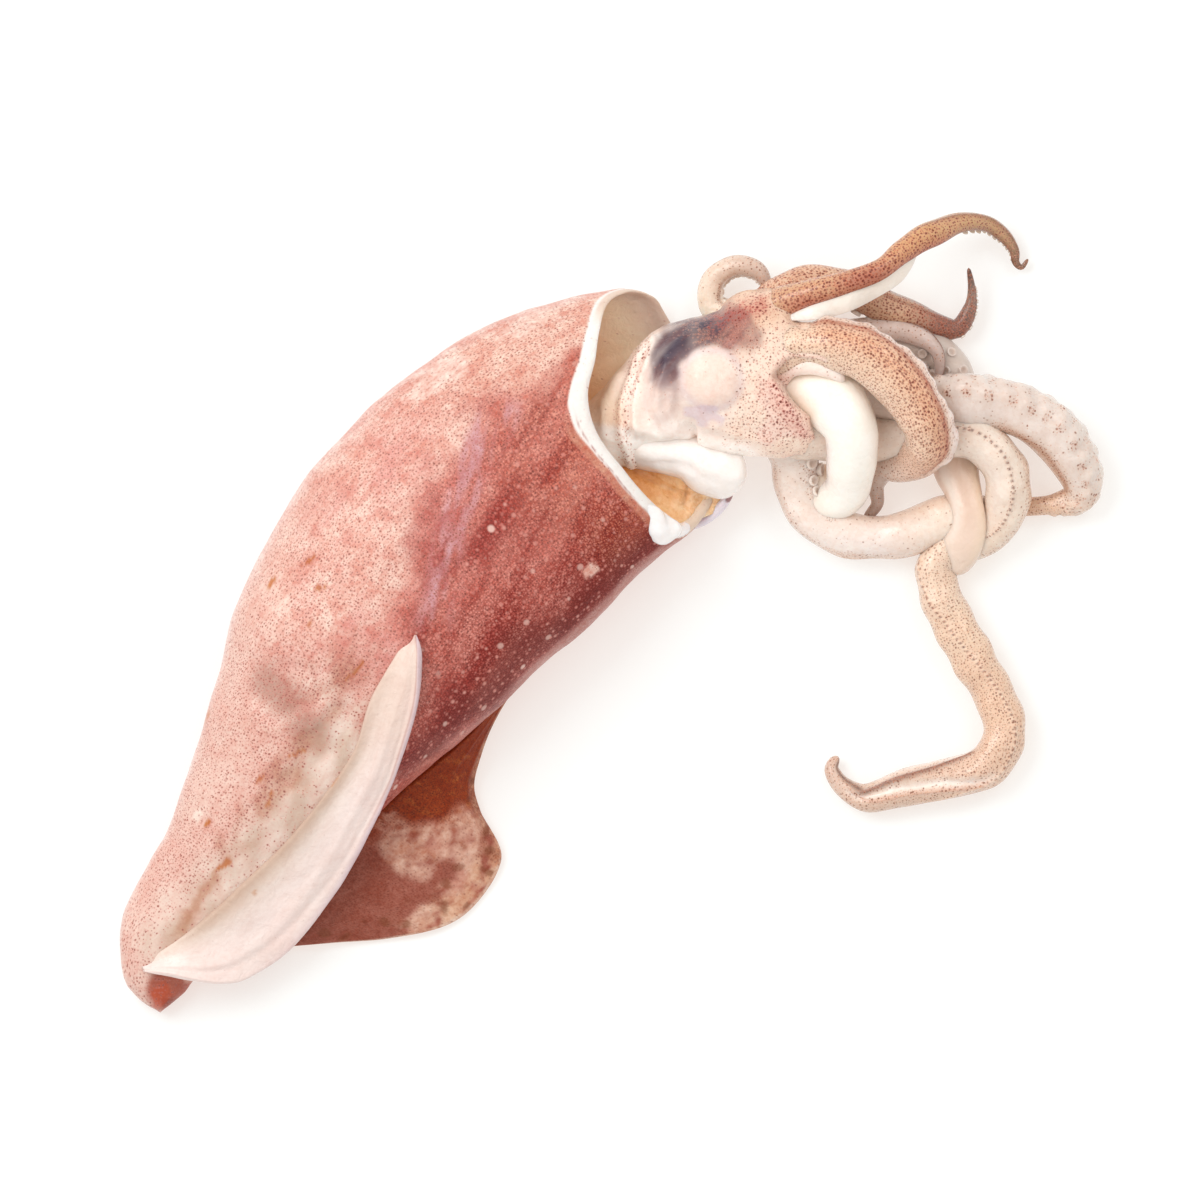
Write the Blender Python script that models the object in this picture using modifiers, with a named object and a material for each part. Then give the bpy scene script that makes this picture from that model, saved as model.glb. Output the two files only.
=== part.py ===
"""Whole raw squid lying on its side: mantle with an open mouth, two fins, head, funnel,
eight arms and two tentacles.  Metres, +Z up, origin under the middle of the animal, on the
surface that it lies on.
"""
import math

import bmesh
import bpy
from mathutils import Vector

# ---------------------------------------------------------------- driving dimensions
MM = 0.001
CLEARANCE = 0.35 * MM          # gap kept between neighbouring pieces
WELD = 0.01 * MM               # points of a new shape closer than this are one point
CUT_WELD = 0.0005 * MM         # the same where a piece has been cut by another

# Mantle: middle line on the table, half width and height, from the tail tip to the mouth.
MANTLE_LINE = [  # x, y, half width, height (mm)
    (-112.3, -100.2, 0.4, 6.0),
    (-112.6, -95.0, 6.6, 9.5),
    (-112.2, -88.5, 10.4, 12.5),
    (-108.0, -79.5, 14.6, 15.5),
    (-96.3, -64.4, 17.2, 21.5),
    (-85.7, -48.5, 21.6, 28.0),
    (-75.9, -32.2, 26.6, 34.0),
    (-65.9, -15.9, 32.2, 39.0),
    (-54.7, -0.4, 36.1, 42.0),
    (-42.5, 14.3, 37.9, 43.0),
    (-28.7, 27.5, 38.2, 42.0),
    (-13.5, 39.0, 36.6, 39.5),
    (3.4, 47.9, 33.2, 36.5),
    (21.0, 55.4, 27.7, 33.0),
    (30.5, 59.0, 24.5, 31.0),
]
MANTLE_LENGTH = 195.0 * MM     # along the middle line, tail tip to the middle of the mouth
MOUTH_LIP = [                  # angle round the section in degrees, length along the mantle
    (-150, 211.0), (-110, 212.5), (-60, 212.0), (-28, 209.0), (-8, 199.0), (12, 189.0),
    (42, 185.5), (70, 182.0), (90, 180.0), (106, 181.5), (120, 186.0), (150, 198.0),
    (178, 204.5), (200, 209.5),
]
WALL = 4.0 * MM                # thickness of the mantle's wall
POCKET_DEPTH = 58.0 * MM       # how far the mouth can be seen into
MIDDLE_HEIGHT = 0.46           # height of the widest place, as a part of the section's height
SAG = 2.5 * MM                 # how far the underside is pressed flat
MANTLE_SIDES = 32
MANTLE_RINGS = 24
POCKET_RINGS = 8

# Fins: root on the mantle's skin and free edge, from the tail forward (mm).
FIN_THICKNESS = 2.4 * MM
FIN_ROOT_SINK = 1.5 * MM
FIN_STEPS = 20
FIN_ROWS = 5
NEAR_FIN_ROOT = [(-111.9, -87.6), (-104.9, -76.9), (-93.6, -65.1), (-79.9, -53.9),
                 (-67.4, -43.4), (-57.9, -29.6), (-52.4, -17.1), (-49.9, -8.9)]
NEAR_FIN_EDGE = [(-111.4, -89.4, 15.5), (-104.4, -91.2, 13.0), (-92.4, -91.6, 9.5),
                 (-77.4, -82.1, 11.0), (-64.9, -64.6, 17.5), (-54.4, -43.4, 28.0),
                 (-48.4, -24.6, 38.0), (-47.6, -9.0, 44.0)]
FAR_FIN_ROOT = [(-104.9, -93.4, 4.0), (-92.4, -79.6, 5.0), (-79.9, -68.4, 6.5),
                (-67.4, -57.1, 8.0), (-54.9, -45.9, 9.5), (-42.4, -36.4, 11.5),
                (-31.6, -28.2, 14.0)]
FAR_FIN_EDGE = [(-102.4, -94.9, 1.6), (-79.9, -83.4, 1.6), (-54.9, -81.6, 1.6),
                (-37.4, -76.6, 1.6), (-27.1, -62.1, 1.6), (-32.9, -45.9, 3.0),
                (-29.4, -27.6, 11.0)]

# Head and funnel: middle line, half width and half height (mm).
HEAD_LINE = [(-10.0, 36.5, 14.5, 9.0, 7.0), (-5.0, 39.5, 15.0, 13.0, 10.0),
             (3.0, 45.5, 16.0, 16.0, 12.5), (11.5, 51.5, 16.8, 17.5, 14.5),
             (20.0, 55.0, 17.5, 17.8, 15.5), (30.0, 58.5, 17.8, 19.5, 15.5),
             (39.0, 60.5, 18.0, 20.5, 14.8), (47.0, 61.5, 18.0, 18.5, 13.0),
             (52.0, 62.0, 18.0, 9.0, 7.0)]
EYE_PLACE = (24.6, 57.1)
EYE_RADIUS = 7.5 * MM
EYE_BULGE = 1.8 * MM
FUNNEL_LINE = [(2.0, 37.5, 9.0, 4.0, 3.0), (7.0, 39.4, 9.6, 7.0, 5.0),
               (14.6, 39.6, 10.0, 7.4, 5.6), (23.1, 37.6, 10.0, 6.6, 5.4),
               (29.6, 34.6, 9.4, 5.2, 4.6), (33.0, 32.4, 8.8, 2.6, 2.2)]
HEAD_SIDES = 20
FUNNEL_SIDES = 14
LINE_STEP = 4.5 * MM           # spacing of the rings along head, funnel and limbs

# Limbs: route from the head outward as x, y, z and radius (mm).  The order is the order of
# cutting: each limb gives way to those before it.
LIMBS = {
    "arm_broad": [
        (40.1, 65.4, 23, 8.0), (50.6, 65.9, 27, 7.4), (59.6, 64.9, 28.5, 7.1),
        (67.6, 60.9, 28.5, 7.0), (74.1, 54.4, 27.5, 6.8), (78.1, 47.4, 25, 6.5),
        (79.4, 41.4, 20, 6.0), (75.6, 37.1, 12.5, 4.8), (69.1, 35.9, 7.5, 3.4),
        (66.6, 31.9, 5.0, 2.2), (66.9, 27.1, 4.5, 1.6), (64.6, 23.6, 4.5, 1.2),
        (64.1, 20.9, 4.0, 0.6)],
    "tentacle_pale": [
        (41.4, 56.6, 18, 6.5), (50.6, 56.6, 22, 6.8), (57.6, 52.4, 25.5, 6.6),
        (61.1, 44.9, 24, 6.5), (60.6, 36.4, 18, 6.3), (58.9, 29.1, 10.5, 5.8),
        (54.6, 27.4, 7.0, 5.0), (52.4, 31.9, 5.6, 4.0), (54.1, 36.9, 5, 3.0)],
    "arm_upper": [
        (40.1, 70.4, 20, 7.0), (48.1, 75.9, 24, 6.6), (58.1, 78.6, 25.5, 5.3),
        (67.6, 84.6, 24.5, 4.8), (74.6, 91.1, 21, 4.6), (83.9, 96.4, 15, 4.3),
        (93.1, 97.4, 9, 2.9), (99.6, 93.9, 5, 2.0), (102.4, 89.6, 3.2, 1.3),
        (102.4, 86.9, 2.4, 0.9), (104.4, 87.4, 3.0, 0.5)],
    "tentacle_long": [
        (40.1, 46.6, 20, 7.0), (51.4, 44.1, 15, 6.4), (65.1, 42.9, 10.5, 5.6),
        (80.1, 43.9, 11.5, 5.5), (90.6, 43.4, 13.5, 5.5), (97.6, 37.4, 12.5, 5.6),
        (99.6, 27.9, 9.5, 5.4), (95.6, 19.9, 6, 5.0), (86.4, 16.1, 5.2, 5.0),
        (81.1, 11.4, 5.2, 5.0), (83.1, 2.9, 5.2, 5.3), (89.6, -9.6, 5.2, 5.4),
        (96.6, -22.1, 5.2, 5.4), (98.4, -31.6, 5.2, 5.4), (93.6, -39.1, 5.0, 5.2),
        (82.6, -42.1, 4.8, 5.0), (72.6, -44.4, 4.4, 4.4), (64.1, -46.4, 3.8, 3.4),
        (58.4, -43.9, 3.4, 2.6), (55.6, -39.4, 3.0, 2.0), (57.1, -36.1, 2.6, 1.1)],
    "arm_right": [
        (42.6, 56.6, 11, 5.5), (60.1, 54.1, 11, 5.5), (76.4, 52.4, 12, 5.5),
        (88.9, 52.1, 13.5, 6.2), (101.6, 49.6, 12, 6.3), (111.8, 43.2, 9.5, 6.2),
        (117.0, 34.6, 7, 5.3), (116.6, 28.9, 5.2, 4.0), (111.4, 26.9, 4, 2.8),
        (104.9, 26.1, 3.2, 2.1), (100.2, 25.3, 2.4, 1.3)],
    "arm_smooth": [
        (42.6, 62.9, 6, 5.0), (60.1, 65.4, 5, 5.0), (76.4, 66.4, 5, 4.8),
        (85.1, 61.4, 5, 4.6), (87.1, 52.9, 4.6, 4.6), (85.1, 42.9, 4.8, 4.8),
        (86.6, 33.4, 6, 5.4), (89.6, 24.9, 9.5, 5.6), (88.6, 16.6, 10, 5.0),
        (85.1, 12.1, 7.5, 3.2)],
    "arm_ring": [
        (41.4, 46.6, 13, 6.0), (45.6, 39.1, 8, 6.0), (47.1, 30.4, 6, 5.6),
        (52.6, 21.9, 5.8, 5.5), (62.6, 18.4, 5.8, 5.5), (73.9, 19.4, 5.8, 5.8),
        (83.9, 23.1, 5.9, 5.8), (91.2, 25.8, 4.8, 4.4), (95.4, 27.2, 3.6, 2.8)],
    "arm_rear": [
        (38.9, 74.9, 15, 5.5), (47.6, 81.9, 16, 4.4), (57.6, 81.6, 14, 4.2),
        (66.4, 77.6, 11, 4.0), (73.9, 74.6, 8.5, 3.8), (81.4, 71.6, 6, 3.0),
        (86.9, 70.9, 5, 2.2), (89.9, 75.9, 5.5, 1.6), (90.4, 80.9, 6.5, 1.0),
        (89.6, 85.9, 7.5, 0.4)],
    "arm_curled": [
        (41.4, 71.6, 9, 4.5), (32.6, 72.4, 6, 3.8), (25.6, 76.4, 5.5, 3.2),
        (26.1, 82.9, 7, 2.8), (31.1, 86.4, 9, 2.6), (36.6, 85.4, 10, 2.2),
        (38.9, 81.9, 10, 1.5), (37.6, 79.6, 9, 0.9)],
    "arm_lilac": [
        (41.4, 67.9, 13, 4.0), (55.1, 68.9, 11, 3.8), (68.9, 70.4, 10, 3.2),
        (77.1, 68.6, 10.5, 2.4), (81.4, 65.4, 11.5, 1.9), (82.4, 60.9, 11.5, 1.4),
        (81.4, 56.9, 11, 0.6)],
}
LIMB_BEVEL_RESOLUTION = 3
THINNEST_TIP = 0.4 * MM

# Finishes: colour (linear RGB), roughness.
SKIN = {
    "mantle": ((0.62, 0.27, 0.21), 0.30),
    "fin_near": ((0.90, 0.73, 0.63), 0.35),
    "fin_far": ((0.35, 0.13, 0.08), 0.35),
    "head": ((0.78, 0.62, 0.52), 0.30),
    "funnel": ((0.95, 0.93, 0.90), 0.30),
}
LIMB_SKIN = ((0.80, 0.62, 0.50), 0.32)
PALE_LIMB_SKIN = ((0.93, 0.90, 0.86), 0.28)
PALE_LIMBS = ("tentacle_pale", "arm_smooth")


# ---------------------------------------------------------------- curves through points
def smooth_value(rows, place):
    """Catmull-Rom value of a table of rows at a place counted in rows."""
    last = len(rows) - 1
    place = min(max(place, 0.0), last)
    low = min(int(place), last - 1)
    t = place - low
    before, start, end, after = (rows[min(max(low + k, 0), last)] for k in (-1, 0, 1, 2))
    values = []
    for a, b, c, d in zip(before, start, end, after):
        values.append(0.5 * (2 * b + (c - a) * t + (2 * a - 5 * b + 4 * c - d) * t * t
                             + (3 * b - a - 3 * c + d) * t ** 3))
    return values


class Line:
    """A smooth line through rows of numbers in mm, read by the length along it."""

    def __init__(self, rows, flat=False):
        self.rows = [[value * MM for value in row] for row in rows]
        self.flat = flat
        fine = 40
        self.places = [k / fine for k in range((len(rows) - 1) * fine + 1)]
        points = [self._point(smooth_value(self.rows, place)) for place in self.places]
        self.lengths = [0.0]
        for before, here in zip(points, points[1:]):
            self.lengths.append(self.lengths[-1] + (here - before).length)

    def _point(self, row):
        return Vector((row[0], row[1], 0.0 if self.flat else row[2]))

    @property
    def length(self):
        return self.lengths[-1]

    def at(self, length):
        """Row of values at a length from the start."""
        if length >= self.length:
            return smooth_value(self.rows, self.places[-1])
        k = 0
        while self.lengths[k + 1] < length:
            k += 1
        span = self.lengths[k + 1] - self.lengths[k]
        part = (max(length, 0.0) - self.lengths[k]) / span
        return smooth_value(self.rows, self.places[k] + part * (self.places[1] - self.places[0]))

    def tangent(self, length):
        step = 0.5 * MM
        ahead = self._point(self.at(min(length + step, self.length)))
        behind = self._point(self.at(max(length - step, 0.0)))
        return (ahead - behind).normalized()

    def samples(self, step):
        """Rows at even lengths, about a step apart, with both ends."""
        count = max(3, round(self.length / step))
        return [self.at(self.length * k / count) for k in range(count + 1)]


def ease(value, low, high):
    """Smooth step from 0 at low to 1 at high."""
    t = min(max((value - low) / (high - low), 0.0), 1.0)
    return t * t * (3 - 2 * t)


# ---------------------------------------------------------------- scene and meshes
def clear_scene():
    for item in list(bpy.data.objects):
        bpy.data.objects.remove(item, do_unlink=True)
    for mesh in list(bpy.data.meshes):
        bpy.data.meshes.remove(mesh)


def new_collection(name):
    group = bpy.data.collections.new(name)
    bpy.context.scene.collection.children.link(group)
    return group


def skin_material(name, colour, roughness):
    skin = bpy.data.materials.new(name)
    skin.use_nodes = True
    shader = skin.node_tree.nodes["Principled BSDF"]
    shader.inputs["Base Color"].default_value = (*colour, 1.0)
    shader.inputs["Roughness"].default_value = roughness
    shader.inputs["Metallic"].default_value = 0.0
    skin.diffuse_color = (*colour, 1.0)
    return skin


def new_object(name, form, group, weld=WELD):
    mesh = bpy.data.meshes.new(name)
    bmesh.ops.remove_doubles(form, verts=form.verts, dist=weld)
    bmesh.ops.recalc_face_normals(form, faces=form.faces)
    form.to_mesh(mesh)
    form.free()
    mesh.shade_smooth()
    item = bpy.data.objects.new(name, mesh)
    group.objects.link(item)
    return item


def loft(rings, close_start=True, close_end=True):
    """Closed skin over rings of points, all with the same number of points."""
    form = bmesh.new()
    rows = [[form.verts.new(point) for point in ring] for ring in rings]
    sides = len(rings[0])
    for low, high in zip(rows, rows[1:]):
        for k in range(sides):
            after = (k + 1) % sides
            form.faces.new((low[k], low[after], high[after], high[k]))
    for wanted, row in ((close_start, rows[0]), (close_end, rows[-1])):
        if wanted:
            middle = form.verts.new(sum((v.co for v in row), Vector()) / sides)
            for k in range(sides):
                form.faces.new((row[k], row[(k + 1) % sides], middle))
    return form


# ---------------------------------------------------------------- mantle
MANTLE = Line(MANTLE_LINE, flat=True)


def mouth_station(angle):
    """Length along the mantle at which its lip lies, at an angle round the section."""
    degrees = math.degrees(angle)
    degrees -= 360 * math.floor((degrees - MOUTH_LIP[0][0]) / 360)
    for place, ((low, _), (high, _)) in enumerate(zip(MOUTH_LIP, MOUTH_LIP[1:])):
        if degrees <= high:
            part = (degrees - low) / (high - low)
            return smooth_value(MOUTH_LIP, place + part)[1] * MM
    return MOUTH_LIP[-1][1] * MM


def mantle_point(station, angle, inset=0.0, shrink=1.0):
    """Point on the mantle's skin, or inset into its wall; angle 0 is its right-hand side."""
    x, y, half_width, height = MANTLE.at(station)
    tangent = MANTLE.tangent(station)
    right = Vector((tangent.y, -tangent.x, 0.0))
    middle = height * MIDDLE_HEIGHT
    wide = (half_width - inset) * shrink
    rise = math.sin(angle)
    if rise >= 0:
        z = middle + (height - middle - inset) * shrink * rise
    else:
        z = max(middle + (middle + SAG - inset) * shrink * rise, inset)
    return Vector((x, y, z)) + right * wide * math.cos(angle)


def mantle_height(x, y):
    """Height of the mantle's upper skin over a place on the table."""
    spot = Vector((x, y, 0.0))
    count = 240
    best = min((MANTLE.length * k / count for k in range(count + 1)),
               key=lambda s: (Vector((*MANTLE.at(s)[:2], 0.0)) - spot).length)
    cx, cy, half_width, height = MANTLE.at(best)
    share = min((spot - Vector((cx, cy, 0.0))).length / half_width, 1.0)
    middle = height * MIDDLE_HEIGHT
    return middle + (height - middle) * math.sqrt(1 - share * share)


def build_mantle(group):
    """Tapering bag with a rounded lip and an open pocket behind its slanted mouth."""
    angles = [2 * math.pi * k / MANTLE_SIDES for k in range(MANTLE_SIDES)]
    rings = []
    for k in range(MANTLE_RINGS + 1):
        part = (k / MANTLE_RINGS) ** 0.92
        slant = ease(part, 0.45, 1.0)
        ring = []
        for angle in angles:
            reach = MANTLE_LENGTH + (mouth_station(angle) - MANTLE_LENGTH) * slant
            ring.append(mantle_point(part * reach, angle))
        rings.append(ring)
    lip = [mantle_point(mouth_station(a) + 0.3 * WALL, a, 0.5 * WALL) for a in angles]
    rings.append(lip)
    for k in range(POCKET_RINGS + 1):
        part = k / POCKET_RINGS
        shrink = math.sqrt(max(1 - part ** 4, 0.0))
        ring = []
        for angle in angles:
            station = mouth_station(angle) * (1 - part) + (MANTLE_LENGTH - 10 * MM) * part
            ring.append(mantle_point(station - POCKET_DEPTH * part, angle, WALL,
                                     max(shrink, 0.12)))
        rings.append(ring)
    return new_object("mantle", loft(rings), group)


# ---------------------------------------------------------------- fins
def build_fin(name, root, edge, bow, group):
    """Thin flap between its root and its free edge, bowed by a height across."""
    root_line, edge_line = Line(root), Line(edge)
    form = bmesh.new()
    rows = []
    for k in range(FIN_STEPS + 1):
        part = k / FIN_STEPS
        start = Vector(root_line.at(root_line.length * part)[:3])
        end = Vector(edge_line.at(edge_line.length * part)[:3])
        row = []
        for j in range(FIN_ROWS + 1):
            across = j / FIN_ROWS
            lift = bow * MM * math.sin(math.pi * across) * math.sin(math.pi * part)
            row.append(form.verts.new(start.lerp(end, across) + Vector((0, 0, lift))))
        rows.append(row)
    for low, high in zip(rows, rows[1:]):
        for j in range(FIN_ROWS):
            form.faces.new((low[j], low[j + 1], high[j + 1], high[j]))
    fin = new_object(name, form, group)
    shell = fin.modifiers.new("thickness", "SOLIDIFY")
    shell.thickness = FIN_THICKNESS
    shell.offset = 0.0
    shell.use_even_offset = False
    return settle(fin)


def near_fin_root():
    """Root of the folded fin, sunk a little into the mantle's upper skin."""
    return [(x, y, (mantle_height(x * MM, y * MM) - FIN_ROOT_SINK) / MM) for x, y in NEAR_FIN_ROOT]


# ---------------------------------------------------------------- head, funnel, limbs
def sweep_form(rows, sides, step):
    """Oval skin along a line whose rows are x, y, z, half width and half height."""
    line = Line(rows)
    count = max(4, round(line.length / step))
    rings = []
    for k in range(count + 1):
        length = line.length * k / count
        x, y, z, wide, high = line.at(length)
        tangent = line.tangent(length)
        right = Vector((tangent.y, -tangent.x, 0.0)).normalized()
        up = right.cross(tangent)
        ring = []
        for side in range(sides):
            angle = 2 * math.pi * side / sides
            ring.append(Vector((x, y, z)) + right * wide * math.cos(angle)
                        + up * high * math.sin(angle))
        rings.append(ring)
    return loft(rings)


def build_head(group):
    """Oval head and neck, with the swelling of the eye under the skin."""
    form = sweep_form(HEAD_LINE, HEAD_SIDES, LINE_STEP)
    eye = Vector((EYE_PLACE[0] * MM, EYE_PLACE[1] * MM))
    for vert in form.verts:
        reach = (vert.co.xy - eye).length / EYE_RADIUS
        if vert.co.z > HEAD_LINE[4][2] * MM:
            vert.co.z += EYE_BULGE * math.exp(-reach * reach)
    return new_object("head", form, group)


def build_funnel(group):
    return new_object("funnel", sweep_form(FUNNEL_LINE, FUNNEL_SIDES, LINE_STEP), group)


def build_limb(name, rows, group):
    """Round tapering limb along its route."""
    curve = bpy.data.curves.new(name, "CURVE")
    curve.dimensions = "3D"
    curve.bevel_depth = 1.0
    curve.bevel_resolution = LIMB_BEVEL_RESOLUTION
    curve.use_fill_caps = True
    samples = Line(rows).samples(LINE_STEP)
    spline = curve.splines.new("POLY")
    spline.points.add(len(samples) - 1)
    for point, (x, y, z, radius) in zip(spline.points, samples):
        point.radius = max(radius, THINNEST_TIP)
        point.co = (x, y, max(z, point.radius), 1.0)
    limb = bpy.data.objects.new(name, curve)
    group.objects.link(limb)
    return settle(limb)


# ---------------------------------------------------------------- cuts between neighbours
def settle(item, weld=WELD):
    """Turn a curve or an object with modifiers into a plain welded mesh object."""
    view = bpy.context.evaluated_depsgraph_get()
    mesh = bpy.data.meshes.new_from_object(item.evaluated_get(view))
    form = bmesh.new()
    form.from_mesh(mesh)
    form.transform(item.matrix_world)
    name, group = item.name, item.users_collection[0]
    bpy.data.objects.remove(item, do_unlink=True)
    bpy.data.meshes.remove(mesh)
    return new_object(name, form, group, weld)


def clearance_copy(item, group):
    """Copy of a piece that stands proud of it all over by the clearance."""
    form = bmesh.new()
    form.from_mesh(item.data)
    form.normal_update()
    shifts = [(vert, vert.normal * CLEARANCE) for vert in form.verts]
    for vert, shift in shifts:
        vert.co += shift
    cutter = new_object("clearance_" + item.name, form, group)
    cutter.hide_render = True
    cutter.display_type = "WIRE"
    return cutter


def boxes_meet(first, second):
    for axis in range(3):
        a = [vert.co[axis] for vert in first.data.vertices]
        b = [vert.co[axis] for vert in second.data.vertices]
        if max(a) < min(b) or max(b) < min(a):
            return False
    return True


def keep_largest_island(item):
    """Drop the loose offcuts that a cut leaves behind."""
    form = bmesh.new()
    form.from_mesh(item.data)
    unseen = set(form.verts)
    islands = []
    while unseen:
        island, edge_of_island = set(), [unseen.pop()]
        while edge_of_island:
            vert = edge_of_island.pop()
            island.add(vert)
            for edge in vert.link_edges:
                other = edge.other_vert(vert)
                if other in unseen:
                    unseen.remove(other)
                    edge_of_island.append(other)
        islands.append(island)
    largest = max(islands, key=len)
    loose = [vert for vert in form.verts if vert not in largest]
    bmesh.ops.delete(form, geom=loose, context="VERTS")
    form.to_mesh(item.data)
    form.free()


def cut_clear(item, cutters):
    """Cut a piece back by its neighbours' clearance copies."""
    for cutter in cutters:
        if not boxes_meet(item, cutter):
            continue
        cut = item.modifiers.new("clear of " + cutter.name, "BOOLEAN")
        cut.operation = "DIFFERENCE"
        cut.solver = "EXACT"
        cut.object = cutter
        item = settle(item, CUT_WELD)
        keep_largest_island(item)
    return item


# ---------------------------------------------------------------- the animal
def build_squid():
    clear_scene()
    squid = new_collection("raw_squid")
    cutters = new_collection("clearances")
    pieces = [
        build_mantle(squid),
        build_fin("fin_far", FAR_FIN_ROOT, FAR_FIN_EDGE, 1.5, squid),
        build_fin("fin_near", near_fin_root(), NEAR_FIN_EDGE, 3.0, squid),
        build_head(squid),
        build_funnel(squid),
    ]
    pieces += [build_limb(name, rows, squid) for name, rows in LIMBS.items()]
    done = []
    for piece in pieces:
        name = piece.name
        copy = clearance_copy(piece, cutters)
        piece = cut_clear(piece, done)
        done.append(copy)
        default = PALE_LIMB_SKIN if name in PALE_LIMBS else LIMB_SKIN
        colour, roughness = SKIN.get(name, default)
        piece.data.materials.append(skin_material(name + "_skin", colour, roughness))


build_squid()
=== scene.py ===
"""Looks of a whole raw squid that lies on its side on a bare white table.

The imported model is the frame: its solids stay where they are, and each of them is replaced here
by a finely modelled piece of wet skin or flesh.  Sizes are in millimetres until a piece is
written into its mesh, where they become metres.  Round a section, angle 0 is its right-hand
side in the direction of travel, 90 degrees is up and 180 degrees is its left-hand side.
"""

from __future__ import annotations

import logging
import math
from dataclasses import dataclass, field
from enum import Enum

import bpy
import numpy as np
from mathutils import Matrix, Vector

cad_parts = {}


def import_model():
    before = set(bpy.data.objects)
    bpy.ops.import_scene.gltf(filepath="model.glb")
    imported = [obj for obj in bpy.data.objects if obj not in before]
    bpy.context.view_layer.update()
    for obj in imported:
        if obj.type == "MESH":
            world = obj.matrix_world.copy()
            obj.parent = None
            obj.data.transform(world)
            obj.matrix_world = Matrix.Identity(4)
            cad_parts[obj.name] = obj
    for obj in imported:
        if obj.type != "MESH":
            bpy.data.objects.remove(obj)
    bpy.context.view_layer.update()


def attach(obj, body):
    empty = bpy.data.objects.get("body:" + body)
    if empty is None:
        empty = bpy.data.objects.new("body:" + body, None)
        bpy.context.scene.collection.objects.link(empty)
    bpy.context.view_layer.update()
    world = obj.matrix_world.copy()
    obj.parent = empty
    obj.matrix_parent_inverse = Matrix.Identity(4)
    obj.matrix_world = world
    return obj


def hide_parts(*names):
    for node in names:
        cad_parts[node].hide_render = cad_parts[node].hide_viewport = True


MM = 0.001
LIGHT_SHARE = 0.88      # reflectance against the colour seen, as the studio is a little bright
GLOW_POWER = 0.22       # strength of the painted glow, an emission that stands in for light through the flesh
OFF_TABLE = 0.02        # lowest height of a piece over the table in mm
TAIL_ROUND = 2.2        # length over which the tail's tip is rounded in mm
FLAP_ROUND = 0.05       # part of a flap's width or length over which its rim is rounded
SENSOR = 36.0           # width of the camera's sensor in mm
LOG = logging.getLogger("raw_squid")
Array = np.ndarray
Piece = bpy.types.Object
Socket = bpy.types.NodeSocket
Colour = tuple[float, float, float]
Rows = list[tuple[float, ...]]
Path = list[tuple[float, float]]


# -------------------- small helpers
def tone(red: int, green: int, blue: int) -> Colour:
    """Linear reflectance of a surface that shows as this screen colour in the studio's light."""
    shares = [value / 255 for value in (red, green, blue)]
    linear = [s / 12.92 if s <= 0.04045 else ((s + 0.055) / 1.055) ** 2.4 for s in shares]
    return tuple(LIGHT_SHARE * value for value in linear)


def ease(value: Array | float, low: float, high: float) -> Array:
    """Smooth step of a value.

    Args:
        value: Numbers to place between the two ends.
        low: Where the step is 0.
        high: Where the step is 1; it may be below low.

    Returns:
        Numbers from 0 to 1.
    """
    part = np.clip((np.asarray(value, float) - low) / (high - low), 0.0, 1.0)
    return part * part * (3 - 2 * part)


def hump(value: Array, middle: float | Array, width: float) -> Array:
    """Bell of height 1 round a middle."""
    return np.exp(-((value - middle) / width) ** 2)


def dome(part: Array) -> Array:
    """Quarter round that rises from 0 at 0 to 1 at 1."""
    return np.sqrt(np.clip(1 - (1 - np.clip(part, 0, 1)) ** 2, 0, 1))


def turned(angle: Array, middle: Array | float) -> Array:
    """Signed turn in degrees from a middle to an angle, from -180 to 180."""
    return (angle - middle + 180.0) % 360.0 - 180.0


def through(stops: Rows, value: Array) -> Array:
    """Values read between stops.

    Args:
        stops: Rows of a place and one or more values, in rising order of place.
        value: Places to read at.

    Returns:
        One column for each value of a stop, or a flat array for a single value.
    """
    table = np.array(stops, float)
    columns = [np.interp(value, table[:, 0], table[:, k]) for k in range(1, table.shape[1])]
    return columns[0] if len(columns) == 1 else np.stack(columns, axis=-1)


def lumps(places: Array, size: float, seed: int, waves: int = 9) -> Array:
    """Gentle seeded unevenness from crossing waves.

    Args:
        places: Places, one row each, in mm.
        size: Usual width of a lump in mm.
        seed: Number that fixes the pattern.
        waves: How many waves cross.

    Returns:
        Values around 0, mostly between -1 and 1.
    """
    random = np.random.default_rng(seed)
    total = np.zeros(len(places))
    for _ in range(waves):
        way = random.normal(size=3)
        way /= np.linalg.norm(way)
        pitch = size * random.uniform(1.3, 3.2)
        total += np.sin(places @ way * (2 * math.pi / pitch) + random.uniform(0, 2 * math.pi))
    return total / math.sqrt(waves) * 0.9


def off_path(places: Array, path: Path) -> Array:
    """Distance in plan from each place to a broken line.

    Args:
        places: Places in mm, of which x and y are read.
        path: Corners of the line in mm.

    Returns:
        Distances in mm.
    """
    best = np.full(len(places), 1e9)
    for start, end in zip(path, path[1:]):
        a, b = np.array(start, float), np.array(end, float)
        along = np.clip((places[:, :2] - a) @ (b - a) / max((b - a) @ (b - a), 1e-9), 0, 1)
        gap = places[:, :2] - a - along[:, None] * (b - a)
        best = np.minimum(best, np.linalg.norm(gap, axis=1))
    return best


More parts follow.
